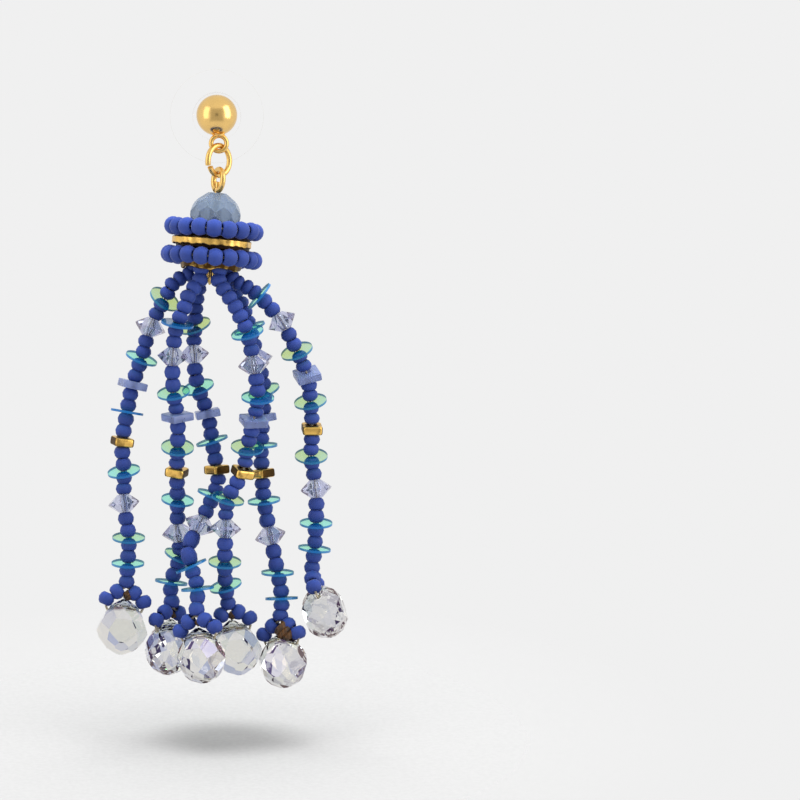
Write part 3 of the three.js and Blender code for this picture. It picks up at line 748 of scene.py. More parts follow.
# Half of the thread's loop through a drop, as (across, up) from the knot, and half a seed bead's run on it.
LOOP_HALF = [(0, 0.1), (1.08, -0.6), (2.32, -1.62), (2.1, -KNOT_TO_DROP - DROP["bore"])]
LOOP_SEED_HALF = 0.74
# The loop's points that a seed bead sits on: two on either side.
LOOP_SEEDS = (1, 2, 6, 7)


def loop_route():
    """The thread's loop through a drop, hung from the knot at the origin."""
    bottom = [(0, -KNOT_TO_DROP - DROP["bore"])]
    both = LOOP_HALF + bottom + [(-x, z) for x, z in reversed(LOOP_HALF)]
    return Route([Vector((x, 0, z)) for x, z in both], 0.5)


def strand(index):
    """All on one strand, in millimetres: its route, its seed beads, and the other pieces' places by kind."""
    facts, rows = STRANDS[index], ROUTES[index]
    turn, out = math.radians(facts["exit"]), CUP_EXIT["r"]
    start = HEAD @ Vector((out * math.cos(turn), out * math.sin(turn), -CUP_EXIT["down"]))
    places = [Vector((x, HANG_Y + depth, z)) for _, x, depth, z, *_ in rows]
    route = Route([start, *places])
    seeds, others = [], []
    come, count, came_from = 0.0, facts["seeds"], None
    for i, (kind, _, _, _, *lie) in enumerate(rows):
        if kind == "way":
            continue
        at = route.station(i + 1)
        tangent = route.tangent(at)
        if kind == "bicone":
            lie.append(math.degrees(math.asin(tangent.y)))
        pose = flat_turn(*lie) if lie else Matrix.Identity(4)
        normal = tangent if kind == "knot" else pose.to_3x3() @ Vector((0, 0, 1))
        normal = normal if normal.dot(tangent) > 0 else -normal
        clear = 0 if kind == "knot" else stand_off(kind, normal, tangent)
        pitch = (at - clear - come) / count
        for n in range(count):
            middle = come + (n + 0.5) * pitch
            along = route.tangent(middle)
            rests_on = {0: came_from, count - 1: normal}.get(n)
            if rests_on:
                along = along.lerp(rests_on, REST_SHARE)
            seeds.append((route.point(middle), along, pitch))
        came_from = normal
        if kind != "knot":
            others.append((kind, Matrix.Translation(places[i]) @ pose, lie))
        come, count = at + clear, 2
    hang = Matrix.Translation(places[-1]) @ turn_y(-facts["lean"]) @ turn_z(facts["turn"])
    loop = loop_route()
    for station in LOOP_SEEDS:
        at = loop.station(station)
        seeds.append((hang @ loop.point(at), hang.to_3x3() @ loop.tangent(at), 2 * LOOP_SEED_HALF))
    return {"route": route, "seeds": seeds, "others": others, "hang": hang, "loop": loop}


STRAND_PLANS = [strand(i) for i in range(len(STRANDS))]


# ---- node trees for what repeats ----
RANDOM = "FunctionNodeRandomValue"
NAMED = "GeometryNodeInputNamedAttribute"
CIRCLE = "GeometryNodeCurvePrimitiveCircle"
STORE = "GeometryNodeStoreNamedAttribute"
# How many sides a sequin's outline has.
SEQUIN_SIDES = 40


def new_tree(name, inputs):
    tree = bpy.data.node_groups.new(name, "GeometryNodeTree")
    tree.is_modifier = True
    tree.interface.new_socket("Geometry", in_out="INPUT", socket_type="NodeSocketGeometry")
    for label, kind, default in inputs:
        socket = tree.interface.new_socket(label, in_out="INPUT", socket_type="NodeSocket" + kind)
        if default is not None:
            socket.default_value = default
    tree.interface.new_socket("Geometry", in_out="OUTPUT", socket_type="NodeSocketGeometry")
    return tree, add(tree, "NodeGroupInput").node.outputs


def ring_radii(tree, outer, hole):
    """From the diameters of a ring and its hole: the radius of its wall's middle, and half its wall."""
    return [
        add(tree, MATH, (add(tree, MATH, (outer, hole), operation=operation), 0.25), operation="MULTIPLY")
        for operation in ("ADD", "SUBTRACT")]


def swept_round(tree, radius, sides, section):
    """section carried round a circle about Z, its X pointing outwards."""
    ring = add(tree, CIRCLE, {"Resolution": sides, "Radius": radius})
    upright = add(tree, "GeometryNodeSetCurveNormal", (ring,), mode="Z_UP")
    return add(tree, "GeometryNodeCurveToMesh", {"Curve": upright, "Profile Curve": section})


def threaded(tree, group, bead, stretched):
    """bead on every point, its Z along the thread there, in the named material."""
    seed, vary = group["Seed"], group["Spread"]
    along = add(tree, NAMED, ("along",), data_type="FLOAT_VECTOR")
    facing = add(tree, "FunctionNodeAlignRotationToVector", {"Vector": along}, axis="Z")
    turn = add(tree, RANDOM, {2: 0.0, 3: WHOLE_TURN, 8: seed}, 1, data_type="FLOAT")
    spin = add(tree, "FunctionNodeEulerToRotation", (add(tree, COMBINE, {"Z": turn}),))
    spun = add(tree, "FunctionNodeRotateRotation", (facing, spin), rotation_space="LOCAL")
    narrower = add(tree, MATH, (vary, -1.0), operation="MULTIPLY")
    other_seed = add(tree, "FunctionNodeIntegerMath", (seed, 11))
    change = add(tree, RANDOM, {2: narrower, 3: vary, 8: other_seed}, 1, data_type="FLOAT")
    wide = add(tree, MATH, (1.0, change), operation="ADD")
    long = add(tree, NAMED, ("stretch",), data_type="FLOAT") if stretched else 1.0
    beads = add(tree, "GeometryNodeInstanceOnPoints", {
        "Points": group["Geometry"], "Instance": bead, "Rotation": spun,
        "Scale": add(tree, COMBINE, (wide, wide, long))})
    tone = add(tree, RANDOM, {2: 0.0, 3: 1.0, 8: seed}, 1, data_type="FLOAT")
    shaded = add(tree, STORE, {"Geometry": beads, "Name": "shade", "Value": tone},
                 data_type="FLOAT", domain="INSTANCE")
    real = add(tree, "GeometryNodeRealizeInstances", (shaded,))
    done = add(tree, "GeometryNodeSetMaterial", {"Geometry": real, "Material": group["Material"]})
    add(tree, "NodeGroupOutput", (done,))


def seed_tree():
    """Round-edged bored beads, one on each point, each a little different in width and shade."""
    tree, group = new_tree("Seed beads", [
        ("Bead diameter", "Float", 0.00206), ("Hole diameter", "Float", 0.0008),
        ("Bead length", "Float", 0.0014), ("Roundness", "Float", 1.3), ("Section points", "Int", 8),
        ("Sides", "Int", 9), ("Spread", "Float", 0.02), ("Seed", "Int", 1), ("Material", "Material", None)])
    middle, half_wall = ring_radii(tree, group["Bead diameter"], group["Hole diameter"])
    half_long = add(tree, MATH, (group["Bead length"], 0.5), operation="MULTIPLY")
    # The section is a unit circle whose coordinates are raised to a power, which makes it more or less
    # round.
    circle = add(tree, CIRCLE, {"Resolution": group["Section points"], "Radius": 1.0})
    at = add(tree, SEPARATE, (add(tree, "GeometryNodeInputPosition"),)).node.outputs
    moved = []
    for part, size in ((at["X"], half_wall), (at["Y"], half_long)):
        plain = add(tree, MATH, (part,), operation="ABSOLUTE")
        raised = add(tree, MATH, (plain, group["Roundness"]), operation="POWER")
        sign = add(tree, MATH, (part,), operation="SIGN")
        signed = add(tree, MATH, (sign, raised), operation="MULTIPLY")
        moved.append(add(tree, MATH, (signed, size), operation="MULTIPLY"))
    section = add(tree, "GeometryNodeSetPosition", {
        "Geometry": circle, "Position": add(tree, COMBINE, moved)})
    threaded(tree, group, swept_round(tree, middle, group["Sides"], section), True)
    return tree


def sequin_tree():
    """Thin bored discs, one on each point, with their cut edge marked."""
    tree, group = new_tree("Sequins", [
        ("Diameter", "Float", 0.0041), ("Hole diameter", "Float", 0.0008), ("Thickness", "Float", 0.0003),
        ("Spread", "Float", 0.0), ("Seed", "Int", 1), ("Material", "Material", None)])
    middle, half_wall = ring_radii(tree, group["Diameter"], group["Hole diameter"])
    width = add(tree, MATH, (half_wall, 2.0), operation="MULTIPLY")
    section = add(tree, "GeometryNodeCurvePrimitiveQuadrilateral", {
        "Width": width, "Height": group["Thickness"]})
    disc = swept_round(tree, middle, SEQUIN_SIDES, section)
    flat = add(tree, "GeometryNodeSetShadeSmooth", {"Geometry": disc, "Shade Smooth": False})
    upward = add(tree, SEPARATE, (add(tree, "GeometryNodeInputNormal"),), "Z")
    level = add(tree, MATH, (upward,), operation="ABSOLUTE")
    rim = add(tree, MATH, (level, 0.5), operation="LESS_THAN")
    marked = add(tree, STORE, {"Geometry": flat, "Name": "rim", "Value": rim},
                 data_type="FLOAT", domain="FACE")
    threaded(tree, group, marked, False)
    return tree


def tree_of(name, make):
    return bpy.data.node_groups.get(name) or make()


def grown(name, tree, points, values, finish, body, nodes=()):
    """A plain mesh piece grown by a tree on points: (place, direction, stretch, painted film share), in
    millimetres.
    """
    mesh = bpy.data.meshes.new(name)
    mesh.from_pydata([point[0] * MM for point in points], [], [])
    along = mesh.attributes.new("along", "FLOAT_VECTOR", "POINT")
    along.data.foreach_set("vector", [part for point in points for part in point[1]])
    for label, column in (("stretch", 2), ("tilt", 3)):
        attribute = mesh.attributes.new(label, "FLOAT", "POINT")
        attribute.data.foreach_set("value", [point[column] for point in points])
    obj = bpy.data.objects.new(name, mesh)
    bpy.context.scene.collection.objects.link(obj)
    modifier = obj.modifiers.new("grow", "NODES")
    modifier.node_group = tree
    values = {**values, "Material": material_of(finish)}
    for socket in tree.interface.items_tree:
        if socket.in_out == "INPUT" and socket.name in values:
            modifier[socket.identifier] = values[socket.name]
    dg = bpy.context.evaluated_depsgraph_get()
    seen = obj.evaluated_get(dg)
    grown_mesh = bpy.data.meshes.new_from_object(seen, preserve_all_data_layers=True, depsgraph=dg)
    obj.modifiers.clear()
    obj.data = grown_mesh
    grown_mesh.name = name
    bpy.data.meshes.remove(mesh)
    return settled(obj, body, nodes)


def seed_piece(name, points, diameter, bead_length, nodes, section_points=8, sides=9):
    """Seed beads on a thread. The strands' beads are many and small in the view, so they have few faces."""
    user = bpy.context.scene.earring_sizes
    return grown(name, tree_of("Seed beads", seed_tree), points, {
        "Bead diameter": diameter, "Hole diameter": user.seed_hole, "Bead length": bead_length * MM,
        "Section points": section_points, "Sides": sides,
        "Spread": user.seed_spread, "Seed": user.seed_number + sum(map(ord, name)),
    }, "matte_seed_glass", "tassel", nodes)


# ---- operators: one for each piece or group of like pieces ----
THREAD_SIDES = 8
# Turns a shape made along Z to lie along the post.
ALONG_POST = Matrix.Rotation(math.radians(-90), 4, "X")


class EARRING_OT_stage(bpy.types.Operator):
    """Camera, floor, room light and lamps"""
    bl_idname = "earring.stage"
    bl_label = "Stage"

    # In millimetres: how much the view takes in, how far away it is, and what is in its middle.
    VIEW_WIDTH = 100.0
    DISTANCE = 850.0
    CENTRE_RIGHT = 22.9
    CENTRE_Z = -35.6
    SENSOR_MM = 36
    # How bright the room's sides are against its back wall.
    SIDE_GLOW = 1.1
    # The dark parts of the room's open front, seen from the piece: how far off its middle each starts to
    # fade and ends, and how much light it leaves. The wide one is the doorway, the narrow one the camera.
    OPENINGS = [(0.5, 0.66, 0.6), (0.08, 0.16, 0.3)]
    # The white board below: its height, radius and rake, and its painted pool of shade.
    FLOOR_Z = -78.0
    FLOOR_R = 62
    RAKE = 15.0
    POOL = {"x": 1.2, "half": (13.4, 9.8, 9.8), "darkest": 0.62}
    # Softboxes: name, place, size, power, colour, and whether glass and metal mirror them.
    AIM = (0, 0, -30)
    LAMPS = [
        ("right_softbox", (300, -140, 80), (210, 370), 0.56, (1, 1, 1), True),
        ("left_softbox", (-300, -150, 60), (210, 370), 0.24, (1, 0.97, 0.92), True),
        ("top_softbox", (0, -5, 330), (280, 280), 2.3, (1, 1, 1), False),
    ]

    def camera(self, context):
        data = bpy.data.cameras.new("camera")
        data.sensor_width = self.SENSOR_MM
        data.lens = self.SENSOR_MM * self.DISTANCE / self.VIEW_WIDTH
        data.clip_start, data.clip_end = 0.01, 20
        camera = bpy.data.objects.new("camera", data)
        context.scene.collection.objects.link(camera)
        camera.location = Vector((0, HANG_Y - self.DISTANCE, self.CENTRE_Z)) * MM
        camera.rotation_euler = (math.radians(90), 0, -math.atan(self.CENTRE_RIGHT / self.DISTANCE))
        context.scene.camera = camera

    def room(self, context):
        world = bpy.data.worlds.new("white_tent")
        context.scene.world = world
        world.use_nodes = True
        tree = world.node_tree
        tree.nodes.clear()
        way = add(tree, SEPARATE, (add(tree, COORDINATES, out="Generated"),)).node.outputs
        # The wall behind the piece is pale grey, the sides and top glow, and the front is open and darker.
        ahead = add(tree, MATH, (way["Y"], 0.0), operation="LESS_THAN")
        across, upward = (add(tree, MATH, (way[part],), operation="ABSOLUTE") for part in "XZ")
        off_middle = add(tree, MATH, (across, upward), operation="MAXIMUM")
        openings = []
        for fades, ends, light in self.OPENINGS:
            inside = add(tree, RANGE, (off_middle, fades, ends, 1, 0))
            opening = add(tree, MATH, (ahead, inside), operation="MULTIPLY")
            openings.append(add(tree, RANGE, (opening, 0, 1, 1.0, light)))
        open_front = add(tree, MATH, openings, operation="MULTIPLY")
        sides = add(tree, RANGE, (way["Y"], 0.3, 0.75, self.SIDE_GLOW, 1.0))
        low = add(tree, RANGE, (way["Z"], -0.5, 0.0, 0.97, 1.0))
        behind = add(tree, MATH, (way["Y"], low), operation="MAXIMUM")
        wall = add(tree, RANGE, (behind, 0.85, 1.0, 0.85, 1.0))
        glow = add(tree, MATH, (sides, wall), operation="MULTIPLY")
        # Seen straight on, the room is pale all round; only glass and metal mirror its darker front.
        seen = add(tree, "ShaderNodeLightPath", out="Is Camera Ray")
        front = add(tree, MATH, (open_front, seen), operation="MAXIMUM")
        strength = add(tree, MATH, (glow, front), operation="MULTIPLY")
        background = add(tree, "ShaderNodeBackground", {"Color": linear("#F0F0F0"), "Strength": strength})
        add(tree, "ShaderNodeOutputWorld", (background,))

    def lamp(self, context, name, at, size, power, colour, mirrored):
        data = bpy.data.lights.new(name, "AREA")
        data.shape = "RECTANGLE"
        data.size, data.size_y = size[0] * MM, size[1] * MM
        data.energy = power
        data.color = colour
        lamp = bpy.data.objects.new(name, data)
        context.scene.collection.objects.link(lamp)
        lamp.location = Vector(at) * MM
        lamp.visible_glossy = lamp.visible_transmission = mirrored
        lamp.rotation_euler = (Vector(at) - Vector(self.AIM)).to_track_quat("Z", "Y").to_euler()

    # Matte white board, which glows a little so that it keeps the room's tone, and fades out at its rim.
    def white_board(self):
        material, tree = blank_material("white_board")
        middle = add(tree, "ShaderNodeMapping", {
            "Vector": add(tree, COORDINATES, out="Object"),
            "Location": (-self.POOL["x"] * MM, 0, -self.FLOOR_Z * MM)})
        reach = add(tree, VECTOR_MATH, (middle,), "Value", operation="LENGTH")
        fade = add(tree, RANGE, (reach, 0.02, 0.06, 0, 1))
        # A soft pool of shade lies on the board under the tassel.
        share = tuple(1 / (half * MM) for half in self.POOL["half"])
        pool = add(tree, VECTOR_MATH, (middle, share), operation="MULTIPLY")
        pool = add(tree, VECTOR_MATH, (pool,), "Value", operation="LENGTH")
        shaded = add(tree, RANGE, (pool, 0.2, 0.97, self.POOL["darkest"], 1.0),
                     interpolation_type="SMOOTHSTEP")
        paint = mottled(tree, grain(tree, 0.6), linear("#888888"), linear("#8C8C8C"))
        tone = add(tree, VECTOR_MATH, {0: paint, "Scale": shaded}, operation="SCALE")
        paper = add(tree, PRINCIPLED, {
            "Base Color": tone, "Roughness": 0.9, "Specular IOR Level": 0.1,
            "Emission Color": tone, "Emission Strength": 1.25})
        board = add(tree, MIX_SHADER, (fade, paper, add(tree, TRANSPARENT)))
        add(tree, "ShaderNodeOutputMaterial", (board,))
        return material

    def floor(self, context):
        bm = bmesh.new()
        bmesh.ops.create_circle(bm, cap_ends=True, segments=64, radius=self.FLOOR_R * MM)
        # The board is raked a little towards the front, so that the shadow shows as an ellipse.
        rake = Matrix.Rotation(math.radians(self.RAKE), 4, "X")
        bm.transform(Matrix.Translation((0, 0, self.FLOOR_Z * MM)) @ rake)
        mesh = bpy.data.meshes.new("floor")
        bm.to_mesh(mesh)
        bm.free()
        mesh.materials.append(self.white_board())
        board = bpy.data.objects.new("floor", mesh)
        context.scene.collection.objects.link(board)

    def execute(self, context):
        context.scene.view_settings.view_transform = "Standard"
        self.camera(context)
        self.room(context)
        for lamp in self.LAMPS:
            self.lamp(context, *lamp)
        self.floor(context)
        return {"FINISHED"}


class EARRING_OT_threads(bpy.types.Operator):
    """The beading thread of each strand, from the cap to its knot"""
    bl_idname = "earring.threads"
    bl_label = "Threads"

    # Millimetres from point to point, on the strand and on the tighter loop through its drop.
    STEP = 0.7
    LOOP_STEP = 0.35

    def execute(self, context):
        radius = context.scene.earring_sizes.thread_diameter / MM / 2
        for number, plan in enumerate(STRAND_PLANS, 1):
            points = plan["route"].spaced(self.STEP)
            bm = tube(bmesh.new(), points, radius, THREAD_SIDES)
            plan["thread"] = piece(f"thread_{number}", bm, "twisted_nylon", "tassel")
            plan["path"] = [tuple(p * MM) for p in points]
            loop = tube(bmesh.new(), plan["loop"].spaced(self.LOOP_STEP), radius, THREAD_SIDES)
            bm = placed(loop, plan["hang"])
            plan["with"] = [piece(f"drop_loop_{number}", bm, "twisted_nylon", "tassel")]
        return {"FINISHED"}


class EARRING_OT_stud(bpy.types.Operator):
    """Hollow ball with its loop, and the steel post soldered behind it"""
    bl_idname = "earring.stud"
    bl_label = "Ball stud"

    def execute(self, context):
        steps = 28
        turns = [math.pi * i / steps for i in range(steps + 1)]
        arc = [(BALL_R * math.sin(turn), BALL_R * math.cos(turn)) for turn in turns]
        ball = placed(turned(bmesh.new(), arc, 48, closed=False), stood(0, HANG_Y, 0))
        piece("polished_ball", ball, "polished_gold_plate", "stud", ["ball_stud"])

        loop_top = STUD_LOOP["z"] + STUD_LOOP["ring_r"]
        neck = turned(bmesh.new(), rounded([
            (0.0, -2.0), (0.78, -2.0), (0.76, -2.45), (0.58, loop_top - 0.14), (0.0, loop_top - 0.2),
        ], 0.1), 24, closed=False)
        bm = placed(neck, stood(STUD_LOOP["x"], HANG_Y, 0))
        centre = Vector((STUD_LOOP["x"], HANG_Y, STUD_LOOP["z"]))
        ring = [centre + STUD_LOOP["ring_r"] * Vector((math.cos(a), 0, math.sin(a))) for a in around(40)]
        added(bm, tube(bmesh.new(), ring, STUD_LOOP["wire_r"], 14, closed=True))
        piece("soldered_loop", bm, "brushed_gold_wire", "stud")

        # A pad of solder at the ball, a groove that the clutch snaps into, and a blunted tip.
        tip, groove, groove_r = POST_LENGTH, POST_LENGTH - 1.7, POST_R - 0.09
        outline = rounded([
            (0.0, -0.3), (1.15, -0.3), (1.05, 0.12), (POST_R, 0.3), (POST_R, groove - 0.5),
            (groove_r, groove - 0.3), (groove_r, groove + 0.3), (POST_R, groove + 0.5),
            (POST_R, tip - 0.35), (POST_R * 0.45, tip), (0.0, tip),
        ], 0.1)
        post = placed(turned(bmesh.new(), outline, 20, closed=False), ALONG_POST)
        piece("ear_post_wire", post, "drawn_steel", "stud")
        return {"FINISHED"}


class EARRING_OT_clutch(bpy.types.Operator):
    """Comfort clutch: a clear disc moulded round a gold barrel"""
    bl_idname = "earring.clutch"
    bl_label = "Clutch"

    def execute(self, context):
        r, bore, front, hub, end = (CLUTCH[name] for name in ("r", "bore_r", "front", "hub_r", "hub_end"))
        disc = rounded([
            (bore, front), (r - 0.15, front), (r, front + 0.15), (r, front + 0.33),
            (r - 0.27, front + 0.4), (hub + 0.45, front + 0.43), (hub, 1.1), (hub - 0.05, end - 0.6),
            (hub - 0.45, end), (bore, end)], 0.14)
        moulding = placed(turned(bmesh.new(), disc, 72), ALONG_POST)
        piece("clutch_moulding", moulding, "clear_moulding", "clutch", ["clutch_disc"])

        # From the hollow mouth out over its lip, back along the barrel with its waist, and in at the end.
        r, bore, front, tail, end = (BARREL[name] for name in ("mouth_r", "bore_r", "front", "end_r", "end"))
        barrel = rounded([
            (bore, 2.1), (1.25, 2.0), (1.75, 1.3), (1.9, front), (2.1, front), (r, 1.35), (r, 1.75),
            (2.12, 1.95), (2.12, 3.5), (r, 3.8), (1.9, 4.1), (1.3, 4.4), (1.25, 4.75), (tail, 5.2),
            (tail, 6.3), (1.3, 6.75), (bore, end)], 0.12)
        spring = placed(turned(bmesh.new(), barrel, 40), ALONG_POST)
        piece("clutch_spring", spring, "polished_gold_plate", "clutch", ["clutch_barrel"])
        return {"FINISHED"}


class EARRING_OT_links(bpy.types.Operator):
    """Open jump ring, and the eye pin that the head is threaded on"""
    bl_idname = "earring.links"
    bl_label = "Jump ring and eye pin"

    # The gap between the jump ring's cut ends, in degrees, and how far one lies in front of the other.
    GAP_AT = 203
    GAP_HALF = 4.5
    END_OFFSET = 0.13
    # The arc of the pin's eye, in degrees.
    EYE_FROM = -100
    EYE_ARC = 348
    WIRE_SIDES = 16

    def wire_arc(self, radius, start, sweep, steps, height=0.0):
        """Points on an arc in the XZ plane, about a centre at that height."""
        turns = [math.radians(start + sweep * i / steps) for i in range(steps + 1)]
        return [Vector((radius * math.cos(a), 0, height + radius * math.sin(a))) for a in turns]

    def execute(self, context):
        steps = 64
        ring = self.wire_arc(JUMP_RING_R, self.GAP_AT + self.GAP_HALF, 360 - 2 * self.GAP_HALF, steps)
        for i, point in enumerate(ring):
            point.y = self.END_OFFSET * (2 * i / steps - 1) ** 9
        hang = stood(STUD_LOOP["x"], HANG_Y, JUMP_Z) @ turn_z(JUMP_RING_TURN)
        bm = placed(tube(bmesh.new(), ring, WIRE_R, self.WIRE_SIDES), hang)
        piece("open_jump_ring", bm, "brushed_gold_wire", "link", ["jump_ring"])

        # One wire: up the stem, out to the side, and round into the eye.
        eye = self.wire_arc(EYE_R, self.EYE_FROM, self.EYE_ARC, 44, EYE_Z)
        stem = [Vector((0, 0, z)) for z in (-TIP_DOWN + 2.4, -9.0, -6.0, -3.0, -1.2, -0.4)]
        bm = tube(bmesh.new(), stem + eye[1:], WIRE_R, self.WIRE_SIDES)
        tip = turned(bmesh.new(), rounded([
            (0.0, -TIP_DOWN), (0.1, -TIP_DOWN), (0.5, -TIP_DOWN + 1.0), (0.5, -TIP_DOWN + 2.1),
            (0.34, -TIP_DOWN + 2.5), (0.0, -TIP_DOWN + 2.5)], 0.15), 14, closed=False)
        pin = placed(added(bm, tip), HEAD @ turn_z(EYE_TURN))
        piece("wire_eye_pin", pin, "brushed_gold_wire", "tassel", ["eye_pin"])
        return {"FINISHED"}


class EARRING_OT_head(bpy.types.Operator):
    """Rondelle, two circles of seed beads, the crimped spacer disc and the cap"""
    bl_idname = "earring.head"
    bl_label = "Head"

    def rondelle(self):
        r, half = RONDELLE["r"], (RONDELLE["bottom"] - RONDELLE["top"]) / 2
        middle = -(RONDELLE["top"] + RONDELLE["bottom"]) / 2
        gem = cut_gem(12, [
            (9, 0, r * 0.985, 10), (9, 27, r * 0.97, 30), (9, 52, r * 0.93, 10), (1, 90, half, 0),
            (9, -27, r * 0.97, 30), (9, -52, r * 0.93, 10), (1, -90, half, 0)])
        gem = placed(drilled(gem, 0.5, 12, Matrix.Identity(4)), HEAD @ stood(z=middle))
        piece("opal_rondelle", gem, "opal_glass", "tassel", ["rondelle_bead"], smooth=0)

    def bead_circle(self, name, facts, node):
        points = []
        for i in range(facts["beads"]):
            turn = 2 * math.pi * (i + 0.5) / facts["beads"]
            wander = 0.05 * math.sin(i * 2.4 + facts["down"])
            place = HEAD @ Vector((
                (facts["r"] + wander) * math.cos(turn), (facts["r"] + wander) * math.sin(turn),
                -facts["down"] + 0.06 * math.sin(i * 1.7)))
            along = HEAD.to_3x3() @ Vector((-math.sin(turn), math.cos(turn), 0.05 * math.sin(i * 3.1)))
            points.append((place, along, 1.0, 0.0))
        pitch = 2 * math.pi * facts["r"] / facts["beads"]
        # These few seeds are seen end on, so they are rounder than the many on the strands.
        width = bpy.context.scene.earring_sizes.ring_bead_diameter
        seed_piece(name, points, width, pitch * 1.02, [node], section_points=12, sides=16)
        r = facts["r"]
        ring = [HEAD @ Vector((r * math.cos(a), r * math.sin(a), -facts["down"])) for a in around(60)]
        radius = bpy.context.scene.earring_sizes.thread_diameter / MM / 2
        thread = tube(bmesh.new(), ring, radius, THREAD_SIDES, closed=True)
        piece(f"{name}_thread", thread, "twisted_nylon", "tassel")

    def disc(self):
        half, r, down = DISC["thick"] / 2, DISC["r"], DISC["down"]

        def crimped(turn, radius, z):
            share = max(0.0, (radius - r + 1.2) / 1.2)
            edge = 0.05 * math.sin(11 * turn + 0.6) + 0.03 * math.sin(23 * turn)
            up = 0.06 * math.sin(13 * turn) + 0.05 * math.sin(29 * turn + 2)
            return edge * share, up * share * (1.0 if z < -down else 0.15)
        outline = rounded([
            (4.3, -down - half + 0.1), (r - 0.2, -down - half), (r, -down - 0.36), (r - 0.04, -down),
            (r, -down + 0.36), (r - 0.2, -down + half), (4.3, -down + half - 0.1)], 0.1, 3)
        bm = placed(turned(bmesh.new(), outline, 144, wave=crimped), HEAD @ stood(x=DISC["x"]))
        piece("crimped_disc", bm, "satin_gold_plate", "tassel", ["gold_spacer_disc"])
        # The core is brown-black: painted shade in the gaps between the disc and the bead circles.
        core_r, top, bottom = DISC_CORE["r"], -DISC_CORE["top"], -DISC_CORE["bottom"]
        core = rounded([(0.6, bottom), (core_r, bottom), (core_r, top), (0.6, top)], 0.12, 3)
        piece("disc_core", placed(turned(bmesh.new(), core, 72), HEAD), "blackened_brass", "tassel")

    def cap(self):
        def fluted(turn, radius, z):
            share = min(1.0, max(0.0, (-z - CUP["belly"]) / (CUP["rim"] - CUP["belly"])))
            return (0.08 * math.sin(7 * turn) * share,
                    0.14 * math.sin(5 * turn + 1) * share ** 2 + 0.05 * math.sin(13 * turn) * share)
        wall, top, belly, rim = CUP["wall"], -CUP["top"], -CUP["belly"], -CUP["rim"]
        belly_r, rim_r = CUP["belly_r"], CUP["rim_r"]
        outline = rounded([
            (0.55, top - wall), (2.0, top - wall), (belly_r - wall, belly), (rim_r - wall, rim),
            (rim_r, rim), (belly_r, belly), (2.3, top), (0.55, top)], 0.3, 4)
        bm = turned(bmesh.new(), outline, 96, wave=fluted)
        # Above its rim the cap gets painted shade; the rim is left bright, and the whole cap keeps its
        # patina.
        mark = bm.faces.layers.float.new("dark_side")
        for face in bm.faces:
            face[mark] = 0.8 if face.calc_center_median().z > rim + 0.3 else 0.05
        piece("fluted_cap", placed(bm, HEAD), "dark_antiqued_gold", "tassel", ["bead_cap"])

    def execute(self, context):
        self.rondelle()
        self.bead_circle("upper_bead_circle", UPPER_RING, "upper_bead_ring")
        self.bead_circle("lower_bead_circle", LOWER_RING, "lower_bead_ring")
        self.disc()
        self.cap()
        return {"FINISHED"}


class EARRING_OT_seed_beads(bpy.types.Operator):
    """Seed beads of the six strands"""
    bl_idname = "earring.seed_beads"
    bl_label = "Seed beads"

    # A bead is a little longer than its share of the thread, so that its round ends meet its neighbours'.
    FILL = 1.05

    def execute(self, context):
        for number, plan in enumerate(STRAND_PLANS, 1):
            points = [(place, along, size * self.FILL, 0.0) for place, along, size in plan["seeds"]]
            width = context.scene.earring_sizes.seed_diameter
            plan["with"].append(seed_piece(f"seed_beads_{number}", points, width, 1.0, [f"strand_{number}"]))
        return {"FINISHED"}


class EARRING_OT_sequins(bpy.types.Operator):
    """Sequins between the seed beads"""
    bl_idname = "earring.sequins"
    bl_label = "Sequins"

    # The tilt in degrees from which a sequin's colour is painted lime, and how much more makes it all lime.
    LIME_FROM = 25.0
    LIME_SPAN = 8.0
    # Painted film colours given one by one, by strand and place: 0 is mint, -1 a painted azure reflection
    # only.
    PAINTED_FILMS = {(1, 5): 0.5, (2, 1): -0.8, (3, 2): 0.0, (4, 1): 0.0, (4, 3): 0.9, (4, 4): 0.8, (4, 5): 0.7,
             (6, 1): 0.0, (6, 4): 0.9}

    def execute(self, context):
        user = context.scene.earring_sizes
        for number, plan in enumerate(STRAND_PLANS, 1):
            points = []
            for kind, pose, lie in plan["others"]:
                if kind == "sequin":
                    lime = min(1.0, max(0.0, (lie[1] + abs(lie[0]) / 2 - self.LIME_FROM) / self.LIME_SPAN))
                    lime = self.PAINTED_FILMS.get((number, len(points) + 1), lime)
                    points.append((pose.translation, pose.to_3x3() @ Vector((0, 0, 1)), 1.0, lime))
            plan["with"].append(grown(f"sequins_{number}", tree_of("Sequins", sequin_tree), points, {
                "Diameter": user.sequin_diameter, "Hole diameter": user.sequin_hole,
                "Thickness": user.sequin_thickness, "Seed": user.seed_number + number,
            }, "dichroic_film", "tassel"))
        return {"FINISHED"}


